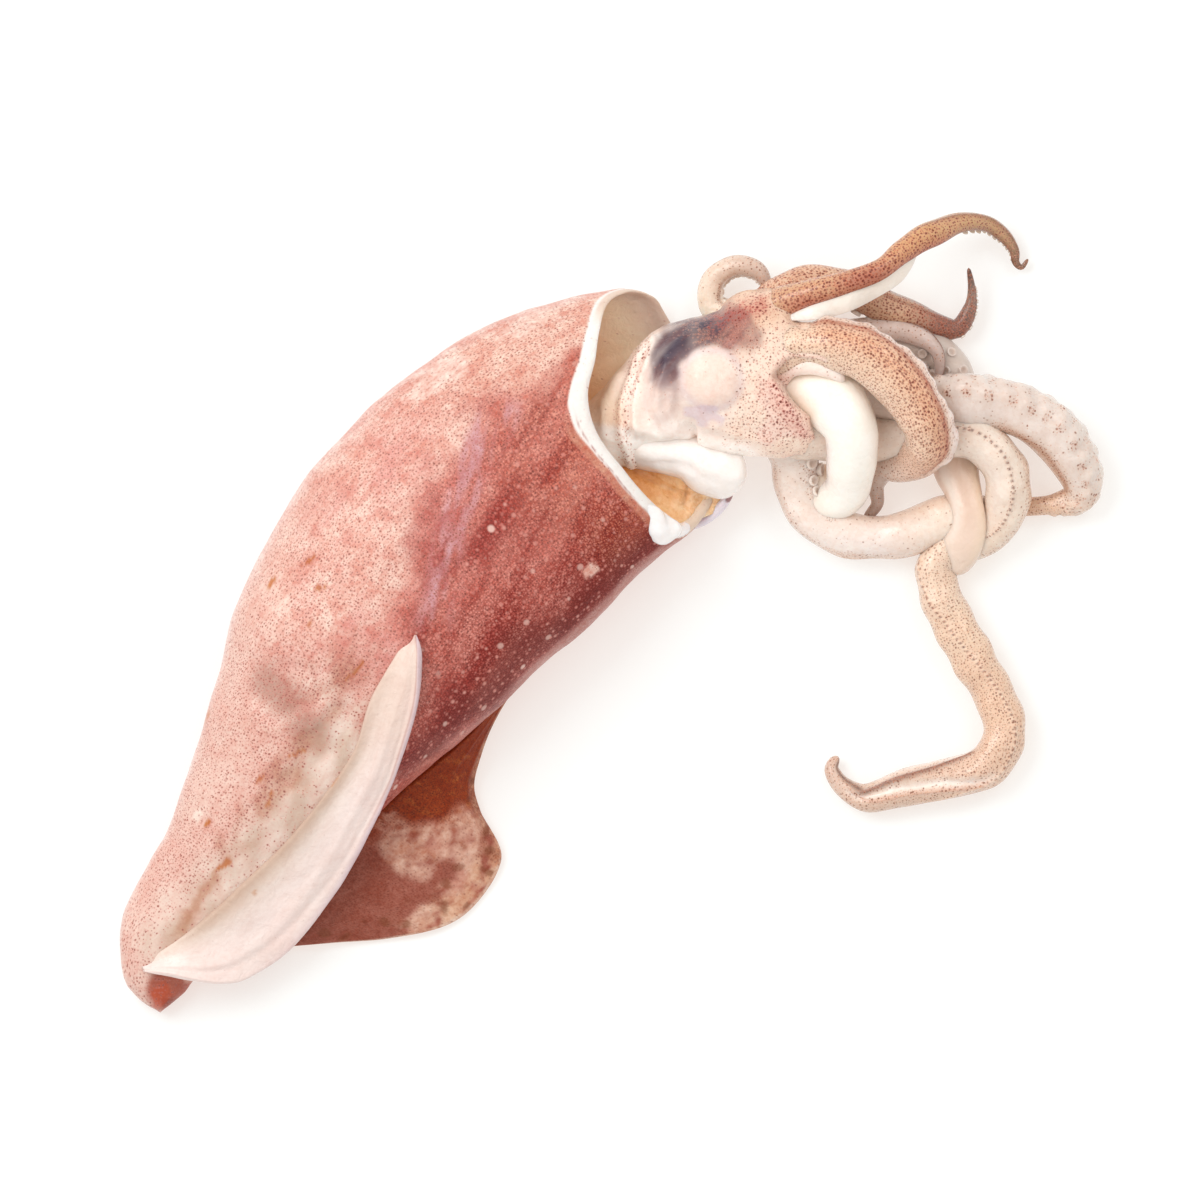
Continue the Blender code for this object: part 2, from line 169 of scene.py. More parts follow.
def patch(places: Array, middle: tuple[float, float], size: tuple[float, float],
          turn: float = 0.0, uneven: float = 0.35, seed: int = 1) -> Array:
    """Soft-edged oval patch in plan with an uneven outline.

    Args:
        places: Places in mm.
        middle: Middle of the patch in plan.
        size: Half length and half width in mm.
        turn: Direction of its length in degrees from +x.
        uneven: How far the outline wanders, as a part of the size.
        seed: Number that fixes the outline.

    Returns:
        1 inside the patch, 0 well outside.
    """
    way = math.radians(turn)
    gap = places[:, :2] - np.array(middle)
    along = gap[:, 0] * math.cos(way) + gap[:, 1] * math.sin(way)
    across = gap[:, 1] * math.cos(way) - gap[:, 0] * math.sin(way)
    reach = np.hypot(along / size[0], across / size[1])
    reach = reach + uneven * lumps(places, max(min(size) * 0.8, 1.2), seed)
    return ease(reach, 1.25, 0.75)


def patches(places: Array, rows: Rows) -> Array:
    """Strongest of several patches.

    Args:
        places: Places in mm.
        rows: Rows of x, y, half length, half width, turn, unevenness, seed and strength.

    Returns:
        The greatest share at each place.
    """
    found = np.zeros(len(places))
    for x, y, length, width, turn, uneven, seed, strength in rows:
        spot = patch(places, (x, y), (length, width), turn, uneven, seed)
        found = np.maximum(found, strength * spot)
    return found


def smooth(rows: Rows, place: Array) -> Array:
    """Catmull-Rom values of a table at places counted in rows."""
    table = np.array(rows, float)
    last = len(table) - 1
    place = np.clip(np.asarray(place, float), 0, last)
    low = np.minimum(place.astype(int), last - 1)
    t = (place - low)[:, None]
    a, b, c, d = (table[np.clip(low + k, 0, last)] for k in (-1, 0, 1, 2))
    return 0.5 * (2 * b + (c - a) * t + (2 * a - 5 * b + 4 * c - d) * t ** 2
                  + (3 * b - a - 3 * c + d) * t ** 3)


def fibres(places: Array, way: tuple[float, float], size: float, seed: int) -> Array:
    """Unevenness drawn out in one direction in plan, of a width in mm, around 0."""
    way = np.array(way) / np.hypot(*way)
    along = places[:, :2] @ way
    across = places[:, :2] @ np.array((-way[1], way[0]))
    return lumps(np.column_stack((along * 0.16, across, places[:, 2] * 0.5)), size, seed)


class Line:
    """Smooth line through rows of numbers, read by the length along it."""

    FINE = 48

    def __init__(self, rows: Rows, flat: bool = False) -> None:
        """Sample the line.

        Args:
            rows: Rows in mm: x, y, then z unless the line is flat, then whatever rides along.
            flat: Whether lengths are measured in plan.
        """
        last = len(rows) - 1
        self.table = smooth(rows, np.linspace(0, last, last * self.FINE + 1))
        self.axes = 2 if flat else 3
        steps = np.linalg.norm(np.diff(self.table[:, :self.axes], axis=0), axis=1)
        self.lengths = np.concatenate(([0.0], np.cumsum(steps)))

    @property
    def length(self) -> float:
        """Whole length of the line."""
        return float(self.lengths[-1])

    def at(self, length: Array) -> Array:
        """Rows of values at lengths from the start."""
        columns = [np.interp(length, self.lengths, column) for column in self.table.T]
        return np.stack(columns, axis=-1)

    def tangent(self, length: Array, step: float = 0.8) -> Array:
        """Unit directions of travel, in space, at lengths from the start."""
        ahead = self.at(np.minimum(length + step, self.length))[..., :self.axes]
        behind = self.at(np.maximum(length - step, 0.0))[..., :self.axes]
        way = ahead - behind
        if self.axes == 2:
            way = np.concatenate((way, np.zeros(way.shape[:-1] + (1,))), axis=-1)
        return way / np.linalg.norm(way, axis=-1, keepdims=True)

    def nearest(self, places: Array, step: float = 0.5) -> Array:
        """Lengths along the line of the points nearest to places."""
        marks = np.arange(0.0, self.length, step)
        spots = self.at(marks)[:, :self.axes]
        best = [np.argmin(((chunk[:, None, :self.axes] - spots) ** 2).sum(axis=2), axis=1)
                for chunk in np.array_split(places, max(1, len(places) // 4000))]
        near = np.concatenate(best)
        way = self.tangent(marks)[near, :self.axes]
        past = ((places[:, :self.axes] - spots[near]) * way).sum(axis=1)
        return np.clip(marks[near] + past, 0.0, self.length)


# -------------------- mesh modelling
def pick(*pieces: Piece) -> None:
    """Select pieces alone and make the first the active one."""
    bpy.ops.object.select_all(action="DESELECT")
    for piece in pieces:
        piece.select_set(True)
    if pieces:
        bpy.context.view_layer.objects.active = pieces[0]


def places_of(piece: Piece) -> Array:
    """Vertex places of a piece in mm."""
    flat = np.empty(len(piece.data.vertices) * 3)
    piece.data.vertices.foreach_get("co", flat)
    return flat.reshape(-1, 3) / MM


def set_places(piece: Piece, places: Array) -> None:
    """Move the vertices of a piece to places in mm."""
    piece.data.vertices.foreach_set("co", (places * MM).ravel())
    piece.data.update()


def normals_of(piece: Piece) -> Array:
    """Outward direction at each vertex."""
    flat = np.empty(len(piece.data.vertices) * 3)
    piece.data.vertices.foreach_get("normal", flat)
    return flat.reshape(-1, 3)


def new_grid(name: str, columns: int, rows: int) -> tuple[Piece, Array, Array]:
    """Square grid to be laid on a form, with its own UV map.

    Args:
        name: Name of the piece.
        columns: Faces across.
        rows: Faces along.

    Returns:
        The piece, and each vertex's place across and along, from 0 to 1.
    """
    pick()
    bpy.ops.mesh.primitive_grid_add(x_subdivisions=columns, y_subdivisions=rows, size=2 * MM,
                                    calc_uvs=True, location=(0, 0, 0))
    piece = bpy.context.object
    piece.name = name
    piece.data.name = name
    places = places_of(piece)
    return piece, (places[:, 0] + 1) / 2, (places[:, 1] + 1) / 2


def store(piece: Piece, name: str, values: Array) -> None:
    """Keep a number, or a linear colour, for each vertex under a name."""
    values = np.asarray(values, np.float32)
    if values.ndim == 1:
        layer = piece.data.attributes.new(name, "FLOAT", "POINT")
        layer.data.foreach_set("value", values)
        return
    layer = piece.data.attributes.new(name, "FLOAT_COLOR", "POINT")
    full = np.concatenate((values, np.ones((len(values), 1), np.float32)), axis=1)
    layer.data.foreach_set("color", full.ravel())


def unroll(piece: Piece, across: Array, along: Array) -> None:
    """Write the skin's own flat pattern, in mm, into the UV map as metres."""
    corners = np.empty(len(piece.data.loops), np.int32)
    piece.data.loops.foreach_get("vertex_index", corners)
    flat = np.stack((across, along), axis=-1)[corners] * MM
    piece.data.uv_layers[0].data.foreach_set("uv", flat.astype(np.float32).ravel())


def close_up(piece: Piece, weld: float = 0.002) -> None:
    """Weld seams and poles, turn the faces outward and shade them smooth."""
    pick(piece)
    bpy.ops.object.mode_set(mode="EDIT")
    bpy.ops.mesh.select_all(action="SELECT")
    bpy.ops.mesh.remove_doubles(threshold=weld * MM)
    bpy.ops.mesh.dissolve_degenerate(threshold=1e-8)
    bpy.ops.mesh.select_all(action="SELECT")
    bpy.ops.mesh.normals_make_consistent(inside=False)
    bpy.ops.object.mode_set(mode="OBJECT")
    piece.data.shade_smooth()


def apply(piece: Piece, kind: str, **settings: object) -> None:
    """Add a modifier, set it and apply it.

    Args:
        piece: Piece to change.
        kind: Blender's name of the modifier.
        **settings: Values of the modifier.
    """
    pick(piece)
    bpy.ops.object.modifier_add(type=kind)
    modifier = piece.modifiers[-1]
    for name, value in settings.items():
        setattr(modifier, name, value)
    bpy.ops.object.modifier_apply(modifier=modifier.name)


def join(name: str, pieces: list[Piece]) -> Piece:
    """Join pieces into one that takes a name."""
    pick(*pieces)
    if len(pieces) > 1:
        bpy.ops.object.join()
    result = bpy.context.object
    result.name = name
    result.data.name = name
    return result


# -------------------- finishes
class Pattern(Enum):
    """What the pigment dots of a skin follow."""

    UNROLLED = "the skin's own flat pattern"
    SOLID = "the space round the animal"


class Graph:
    """Short words for building a shader's nodes."""

    def __init__(self, name: str) -> None:
        """Start a material with a Principled shader."""
        self.material = bpy.data.materials.new(name)
        self.material.use_nodes = True
        self.tree = self.material.node_tree
        self.shader = self.tree.nodes["Principled BSDF"]
        room = self.node("ShaderNodeTexCoord")
        self.space, self.flat = room.outputs["Object"], room.outputs["UV"]

    def node(self, kind: str, **settings: object) -> bpy.types.Node:
        """New node with its settings."""
        made = self.tree.nodes.new(kind)
        for name, value in settings.items():
            setattr(made, name, value)
        return made

    def feed(self, socket: Socket, value: object) -> None:
        """Link a socket to another one, or set its number."""
        if isinstance(value, Socket):
            self.tree.links.new(value, socket)
        else:
            socket.default_value = value

    def math(self, operation: str, *values: object) -> Socket:
        """Result of a Math node on up to three values."""
        made = self.node("ShaderNodeMath", operation=operation)
        for socket, value in zip(made.inputs, values):
            self.feed(socket, value)
        return made.outputs[0]

    def times(self, *values: object) -> Socket:
        """Product of two values."""
        return self.math("MULTIPLY", *values)

    def scaled(self, value: object, gain: object, base: object) -> Socket:
        """Value times a gain, plus a base."""
        return self.math("MULTIPLY_ADD", value, gain, base)

    def step(self, value: object, low: float, high: float) -> Socket:
        """Smooth step of a value between two ends."""
        made = self.node("ShaderNodeMapRange", interpolation_type="SMOOTHSTEP")
        for name, part in (("Value", value), ("From Min", low), ("From Max", high)):
            self.feed(made.inputs[name], part)
        return made.outputs["Result"]

    def mix(self, share: object, first: object, second: object, blend: str = "MIX") -> Socket:
        """Mix of two colours."""
        made = self.node("ShaderNodeMix", data_type="RGBA", blend_type=blend)
        self.feed(made.inputs["Factor"], share)
        for socket, value in ((made.inputs[6], first), (made.inputs[7], second)):
            self.feed(socket, (*value, 1.0) if isinstance(value, tuple) else value)
        return made.outputs[2]

    def stored(self, name: str, output: str = "Fac") -> Socket:
        """A number, or with output Color a colour, kept on the mesh."""
        return self.node("ShaderNodeAttribute", attribute_name=name).outputs[output]

    def noise(self, pitch: float, detail: float = 3.0, rough: float = 0.55,
              bend: float = 0.0) -> Socket:
        """Cloudy noise of a pitch in mm."""
        made = self.node("ShaderNodeTexNoise")
        for name, value in (("Vector", self.space), ("Scale", 1 / (pitch * MM)),
                            ("Detail", detail), ("Roughness", rough), ("Distortion", bend)):
            self.feed(made.inputs[name], value)
        return made.outputs["Fac"]

    def fibres(self, across: float, along: float) -> Socket:
        """Noise drawn out along the skin, with its pitches in mm."""
        drawn = self.node("ShaderNodeMapping")
        self.feed(drawn.inputs["Vector"], self.flat)
        drawn.inputs["Scale"].default_value = (1 / (across * MM), 1 / (along * MM), 1)
        made = self.node("ShaderNodeTexNoise")
        self.feed(made.inputs["Vector"], drawn.outputs["Vector"])
        for name, value in (("Scale", 1.0), ("Detail", 4.0), ("Roughness", 0.6)):
            self.feed(made.inputs[name], value)
        return made.outputs["Fac"]

    def cells(self, pitch: float, pattern: Pattern) -> tuple[Socket, ...]:
        """Cells of a pitch in mm.

        Args:
            pitch: Usual spacing of the cells' middles.
            pattern: What the cells follow.

        Returns:
            Distance to the middle in pitches, and three chance numbers of each cell.
        """
        flat = pattern is Pattern.UNROLLED
        made = self.node("ShaderNodeTexVoronoi", voronoi_dimensions="2D" if flat else "3D")
        self.feed(made.inputs["Vector"], self.flat if flat else self.space)
        made.inputs["Scale"].default_value = 1 / (pitch * MM)
        made.inputs["Randomness"].default_value = 0.8
        chance = self.node("ShaderNodeSeparateColor")
        self.feed(chance.inputs[0], made.outputs["Color"])
        return (made.outputs["Distance"], *chance.outputs[:3])

    def bump(self, height: object, depth: float, under: object = None) -> Socket:
        """Relief of a depth in mm over an earlier one."""
        made = self.node("ShaderNodeBump")
        made.inputs["Distance"].default_value = depth * MM
        self.feed(made.inputs["Height"], height)
        if under is not None:
            self.feed(made.inputs["Normal"], under)
        return made.outputs["Normal"]


@dataclass(frozen=True)
class Dots:
    """A layer of pigment dots, each a core in a halo: spacing, radii, colours and strength.

    The first value of a pair is for closed dots, the second for opened ones.
    """

    pitch: float
    core: tuple[float, float]
    halo: tuple[float, float]
    core_colour: tuple[Colour, Colour]
    halo_colour: tuple[Colour, Colour]
    core_strength: tuple[float, float] = (0.8, 0.8)
    halo_strength: tuple[float, float] = (0.4, 0.9)

    def between(self, graph: Graph, pair: tuple[float, float]) -> Socket:
        """Value between the closed and the opened one, by the redness of the skin."""
        return graph.scaled(graph.stored("Red"), pair[1] - pair[0], pair[0])

    def cover(self, graph: Graph, colour: object, pattern: Pattern) -> Socket:
        """Lay the dots over a colour.

        Args:
            graph: Shader that is being built.
            colour: Colour under the dots.
            pattern: What the dots follow.

        Returns:
            The dotted colour.
        """
        distance, first, second, third = graph.cells(self.pitch, pattern)
        own = graph.scaled(first, 0.9, 0.55)
        deep = graph.scaled(third, 0.7, 0.45)
        distance = graph.times(distance, self.pitch)
        distance = graph.math("ADD", distance, graph.scaled(graph.noise(0.5, 2.0), 0.5, -0.25))
        shown = graph.step(graph.math("SUBTRACT", graph.stored("Dots"), second), -0.06, 0.06)
        red = graph.stored("Red")
        for radii, colours, strength, soft in (
                (self.halo, self.halo_colour, self.halo_strength, 0.22),
                (self.core, self.core_colour, self.core_strength, 0.09)):
            radius = graph.times(self.between(graph, radii), own)
            share = graph.step(graph.math("SUBTRACT", radius, distance), -soft, soft)
            share = graph.times(graph.times(share, shown),
                                graph.times(deep, self.between(graph, strength)))
            colour = graph.mix(share, colour, graph.mix(red, *colours))
        return colour


GLOW: Colour = (1.0, 0.76, 0.58)        # colour of the painted glow, standing in for light that has come through flesh


@dataclass(frozen=True)
class Skin:
    """Wet skin over flesh: a painted tint, pigment dots and faint wrinkles.

    The mesh carries the tint (Tint), how thick the dots stand (Dots), how far they have opened
    and run together (Red), how cloudy the skin is (Mottle) and a painted glow (Glow), an emission
    that stands in for light coming through the flesh.
    """

    name: str
    layers: tuple[Dots, ...] = ()
    pattern: Pattern = Pattern.UNROLLED
    shade: Colour = tone(238, 196, 186)
    mottle: float = 0.3
    streaks: float = 0.0
    weave: float = 0.0
    weave_shade: Colour = (0.44, 0.15, 0.12)
    pale_spots: float = 0.0
    gain: float = 1.0
    shine: float = 0.5
    roughness: float = 0.34
    wetness: float = 0.35
    flesh: float = 0.35
    reach: tuple[float, float, float] = (1.2, 1.0, 0.9)
    wrinkle: float = 0.10

    def tinted(self, graph: Graph) -> Socket:
        """The painted tint with clouds of a deeper shade."""
        tint = graph.stored("Tint", "Color")
        deeper = graph.mix(1.0, tint, self.shade, "MULTIPLY")
        clouds = graph.step(graph.noise(7.0, 5.0, 0.62, 0.5), 0.36, 0.68)
        grain = graph.step(graph.noise(1.1, 2.0, 0.6), 0.40, 0.66)
        share = graph.scaled(clouds, self.mottle, graph.times(grain, self.mottle * 0.5))
        share = graph.times(share, graph.stored("Mottle"))
        colour = graph.mix(share, tint, deeper)
        if self.streaks:
            fibres = graph.step(graph.fibres(1.6, 7.0), 0.42, 0.70)
            share = graph.times(fibres, graph.stored("Mottle"))
            share = graph.times(share, self.streaks)
            colour = graph.mix(share, colour, graph.mix(1.0, colour, self.shade, "MULTIPLY"))
        if self.weave:
            distance, first, _, _ = graph.cells(0.78, self.pattern)
            radius = graph.scaled(first, 0.30, -0.14)
            radius = graph.scaled(graph.noise(4.0, 5.0, 0.65, 0.6), 0.66, radius)
            radius = graph.scaled(graph.noise(0.5, 2.0, 0.7), 0.30,
                                  graph.math("SUBTRACT", radius, 0.15))
            lace = graph.step(graph.math("SUBTRACT", distance, radius), -0.13, 0.13)
            share = graph.times(graph.stored("Red"), graph.stored("Mottle"))
            share = graph.times(graph.times(share, lace), self.weave)
            colour = graph.mix(share, colour,
                               graph.mix(1.0, colour, self.weave_shade, "MULTIPLY"))
        return colour

    def spotted(self, graph: Graph, colour: object) -> Socket:
        """Pale round spots, large and small, where the dots have run together."""
        for pitch, size, spare, pale in ((12.0, 0.07, 0.40, tone(240, 200, 188)),
                                         (4.4, 0.11, 0.30, tone(226, 160, 148)),
                                         (2.3, 0.17, 0.20, tone(220, 142, 130))):
            distance, first, second, third = graph.cells(pitch, self.pattern)
            size = graph.scaled(first, size * 0.8, size * 0.4)
            soft = 0.35 / pitch
            inside = graph.step(graph.math("SUBTRACT", size, distance), -soft, soft)
            inside = graph.times(inside, graph.step(second, spare, spare + 0.1))
            inside = graph.times(inside, graph.step(graph.stored("Red"), 0.3, 0.7))
            inside = graph.times(inside, graph.scaled(third, 0.5, 0.5))
            colour = graph.mix(graph.times(inside, self.pale_spots), colour, pale)
        return colour

    def build(self) -> bpy.types.Material:
        """The finished material."""
        graph = Graph(self.name)
        colour = self.tinted(graph)
        for layer in self.layers:
            colour = layer.cover(graph, colour, self.pattern)
        if self.pale_spots:
            colour = self.spotted(graph, colour)
        colour = graph.mix(1.0, colour, (self.gain,) * 3, "MULTIPLY")
        graph.feed(graph.shader.inputs["Base Color"], colour)
        # Painted glow: where Glow is set, the skin emits its own tint, warmed, standing in for light
        # through the flesh.
        graph.feed(graph.shader.inputs["Emission Color"],
                   graph.mix(1.0, graph.stored("Tint", "Color"), GLOW, "MULTIPLY"))
        graph.feed(graph.shader.inputs["Emission Strength"],
                   graph.times(graph.stored("Glow"), GLOW_POWER))
        relief = graph.bump(graph.noise(3.4, 4.0, 0.6, 0.8), self.wrinkle * 4)
        relief = graph.bump(graph.noise(0.9, 3.0, 0.6), self.wrinkle, relief)
        graph.feed(graph.shader.inputs["Normal"], relief)
        film = graph.scaled(graph.noise(12.0, 2.0), 0.24, self.roughness - 0.12)
        graph.feed(graph.shader.inputs["Roughness"], film)
        even = {"Subsurface Weight": self.flesh, "Subsurface Radius": self.reach,
                "Subsurface Scale": MM, "Coat Weight": self.wetness, "Coat Roughness": 0.10,
                "Coat IOR": 1.34, "IOR": 1.38, "Specular IOR Level": self.shine}
        for name, value in even.items():
            graph.shader.inputs[name].default_value = value
        graph.material.cycles.emission_sampling = "NONE"
        return graph.material


def blend(tint: Array, share: Array, colour: Colour) -> Array:
    """Tint with a share of another colour laid over it."""
    return tint + np.clip(share, 0, 1)[:, None] * (np.array(colour) - tint)


def all_over(places: Array, red: int, green: int, blue: int) -> Array:
    """One tone at every place."""
    return np.tile(np.array(tone(red, green, blue)), (len(places), 1))


def lay(tint: Array, share: Array, red: int, green: int, blue: int) -> None:
    """Lay a share of a tone over a tint, which it changes."""
    tint[:] = blend(tint, share, tone(red, green, blue))


def paint(piece: Piece, tint: Array, dots: Array | float = 0.0, red: Array | float = 0.0,
          mottle: Array | float = 1.0, glow: Array | float = 0.0) -> None:
    """Keep a piece's tint, dots, redness, cloudiness and painted glow on its mesh."""
    plain = np.zeros(len(tint))
    store(piece, "Glow", np.clip(plain + glow, 0, 1))
    dots, red, mottle = plain + dots, plain + red, plain + mottle
    store(piece, "Mottle", mottle)
    store(piece, "Tint", np.clip(tint, 0, 1))
    store(piece, "Dots", np.clip(dots, 0, 1.2))
    store(piece, "Red", np.clip(red, 0, 1))


def put_on(piece: Piece, material: bpy.types.Material, slot: str,
           *nodes: str) -> None:
    """Dress a finished piece and hang it on the squid's body.

    Args:
        piece: Finished piece.
        material: Its material.
        slot: Material slot of the record; not used.
        *nodes: Solids that it stands for.
    """
    piece.data.materials.clear()
    piece.data.materials.append(material)
    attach(piece, "root")
    if nodes:
        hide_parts(*nodes)
    LOG.info("%s: %d faces", piece.name, len(piece.data.polygons))


MANTLE_SKIN = Skin(
    "mantle_skin",
    layers=(
        Dots(0.62, (0.10, 0.12), (0.17, 0.22), (tone(206, 124, 114), tone(120, 40, 34)),
             (tone(238, 176, 164), tone(160, 62, 54)), (0.6, 0.5), (0.35, 0.4)),
        Dots(0.84, (0.16, 0.18), (0.26, 0.34), (tone(160, 98, 84), tone(92, 28, 26)),
             (tone(232, 160, 148), tone(150, 52, 46)), (0.85, 0.7), (0.45, 0.45)),
    ),
    shade=tone(246, 190, 180), mottle=0.7, streaks=0.45, weave=0.85, pale_spots=0.95, gain=0.95,
    shine=0.25, roughness=0.42, wetness=0.08)
FIN_SKIN = Skin(
    "fin_skin",
    layers=(Dots(1.1, (0.16, 0.24), (0.3, 0.45), (tone(150, 100, 80), tone(112, 44, 40)),
                 (tone(236, 200, 184), tone(160, 66, 56)), (0.5, 0.6), (0.2, 0.8)),),
    shade=tone(250, 232, 226), mottle=0.25, streaks=0.2, roughness=0.34, flesh=0.0)
BROWN_SKIN = Skin(
    "brown_skin",
    layers=(Dots(0.7, (0.12, 0.16), (0.26, 0.34), (tone(140, 70, 54), tone(72, 20, 6)),
                 (tone(150, 84, 68), tone(96, 34, 14)), (0.3, 0.7), (0.25, 0.5)),),
    shade=tone(236, 196, 178), mottle=0.7, streaks=0.3, weave=0.5, shine=0.2,
    roughness=0.42, wetness=0.06, wrinkle=0.14, flesh=0.15, weave_shade=(0.62, 0.30, 0.24))
HEAD_SKIN = Skin(
    "head_skin",
    layers=(
        Dots(0.62, (0.12, 0.14), (0.2, 0.26), (tone(190, 118, 96), tone(160, 62, 52)),
             (tone(242, 196, 176), tone(208, 116, 100)), (0.75, 0.9), (0.3, 0.5)),
        Dots(0.84, (0.18, 0.23), (0.27, 0.38), (tone(128, 80, 66), tone(112, 42, 36)),
             (tone(240, 188, 166), tone(190, 88, 76)), (0.9, 0.95), (0.35, 0.7)),
    ),
    pattern=Pattern.SOLID, shade=tone(250, 228, 218), mottle=0.35, gain=1.05, shine=0.4,
    roughness=0.30, wetness=0.35, flesh=0.4, reach=(1.5, 1.3, 1.2))
LIMB_SKIN = Skin(
    "limb_skin",
    layers=(
        Dots(0.56, (0.10, 0.13), (0.16, 0.22), (tone(206, 142, 112), tone(190, 92, 60)),
             (tone(246, 210, 188), tone(218, 136, 104)), (0.65, 0.8), (0.3, 0.5)),
        Dots(0.80, (0.16, 0.25), (0.25, 0.38), (tone(140, 92, 72), tone(122, 46, 32)),
             (tone(240, 196, 170), tone(206, 110, 76)), (0.8, 0.95), (0.3, 0.7)),
    ),
    shade=tone(250, 234, 224), mottle=0.4, roughness=0.24, wetness=0.5, flesh=0.55,
    reach=(1.9, 1.6, 1.4))
PALE_FLESH = Skin("pale_flesh", shade=tone(254, 248, 242), mottle=0.25, gain=1.04,
                  roughness=0.26, wetness=0.5, flesh=0.5, reach=(1.8, 1.6, 1.5), wrinkle=0.07)


# -------------------- mantle
class Slot(Enum):
    """Material slots of the record."""

    MANTLE = "mantle_skin"
    BROWN = "brown_skin"
    HEAD = "head_skin"
    LIMB = "limb_skin"
    PALE = "pale_flesh"


@dataclass
class MantleForm:
    """Form of the mantle: a tapering bag with a slanted mouth, lying on its side."""

    rows: Rows = field(default_factory=lambda: [  # x, y, half width, height
        (-112.3, -100.2, 0.4, 6.0), (-112.6, -95.0, 6.6, 9.5), (-112.2, -88.5, 10.4, 12.5),
        (-108.0, -79.5, 14.6, 15.5), (-96.3, -64.4, 17.2, 21.5), (-85.7, -48.5, 21.6, 28.0),
        (-75.9, -32.2, 26.6, 34.0), (-65.9, -15.9, 32.2, 39.0), (-54.7, -0.4, 36.1, 42.0),
        (-42.5, 14.3, 37.9, 43.0), (-28.7, 27.5, 38.2, 42.0), (-13.5, 39.0, 36.6, 39.5),
        (3.4, 47.9, 33.2, 36.5), (21.0, 55.4, 27.7, 33.0), (30.5, 59.0, 24.5, 31.0)])
    lip: Rows = field(default_factory=lambda: [   # angle round the section, length to the lip
        (-150, 211.0), (-110, 212.5), (-60, 212.0), (-28, 209.0), (-8, 201.5), (12, 194.0),
        (42, 189.8), (70, 186.2), (90, 184.3), (106, 186.3), (121, 191.8), (138, 195.5),
        (159, 199.5), (178, 204.5), (200, 209.5)])
    length: float = 195.0
    wall: float = 4.0
    pocket: float = 58.0
    middle: float = 0.46
    sag: float = 2.5

    def __post_init__(self) -> None:
        """Draw the middle line."""
        self.line = Line(self.rows, flat=True)

    def mouth(self, angle: Array) -> Array:
        """Length along the mantle at which its lip lies, at angles in degrees."""
        low = self.lip[0][0]
        turned_in = low + np.mod(np.asarray(angle, float) - low, 360.0)
        corners = [row[0] for row in self.lip] + [low + 360.0]
        rows = self.lip + [(low + 360.0, self.lip[0][1])]
        return smooth(rows, np.interp(turned_in, corners, np.arange(len(rows))))[:, 1]

    def point(self, station: Array, angle: Array, inset: Array | float = 0.0,
              shrink: Array | float = 1.0, lift: Array | float = 0.0) -> Array:
        """Places on the mantle's skin or inside its wall.

        Args:
            station: Lengths from the tail tip along the middle line.
            angle: Angles round the section in degrees.
            inset: Depth below the skin.
            shrink: Size of the section against its full size.
            lift: Height of relief on the skin.

        Returns:
            Places in mm.
        """
        row, way = self.line.at(station), self.line.tangent(station)
        right = np.stack((way[:, 1], -way[:, 0], np.zeros(len(way))), axis=-1)
        turn = np.radians(angle)
        middle = row[:, 3] * self.middle
        rise = np.sin(turn)
        wide = (row[:, 2] - inset) * shrink + lift
        above = middle + ((row[:, 3] - middle - inset) * shrink + lift) * rise
        below = middle + ((middle + self.sag - inset) * shrink + lift) * rise
        height = np.where(rise >= 0, above, np.maximum(below, inset))
        place = np.stack((row[:, 0], row[:, 1], np.maximum(height, 0.0)), axis=-1)
        return place + right * (wide * np.cos(turn))[:, None]

    def top(self, places: Array) -> Array:
        """Height of the upper skin over places in plan, 0 outside it."""
        row = self.line.at(self.line.nearest(places))
        share = np.linalg.norm(places[:, :2] - row[:, :2], axis=1) / row[:, 2]
        middle = row[:, 3] * self.middle
        rise = np.sqrt(np.clip(1 - share * share, 0, 1))
        return np.where(share < 1, middle + (row[:, 3] - middle) * rise, 0.0)


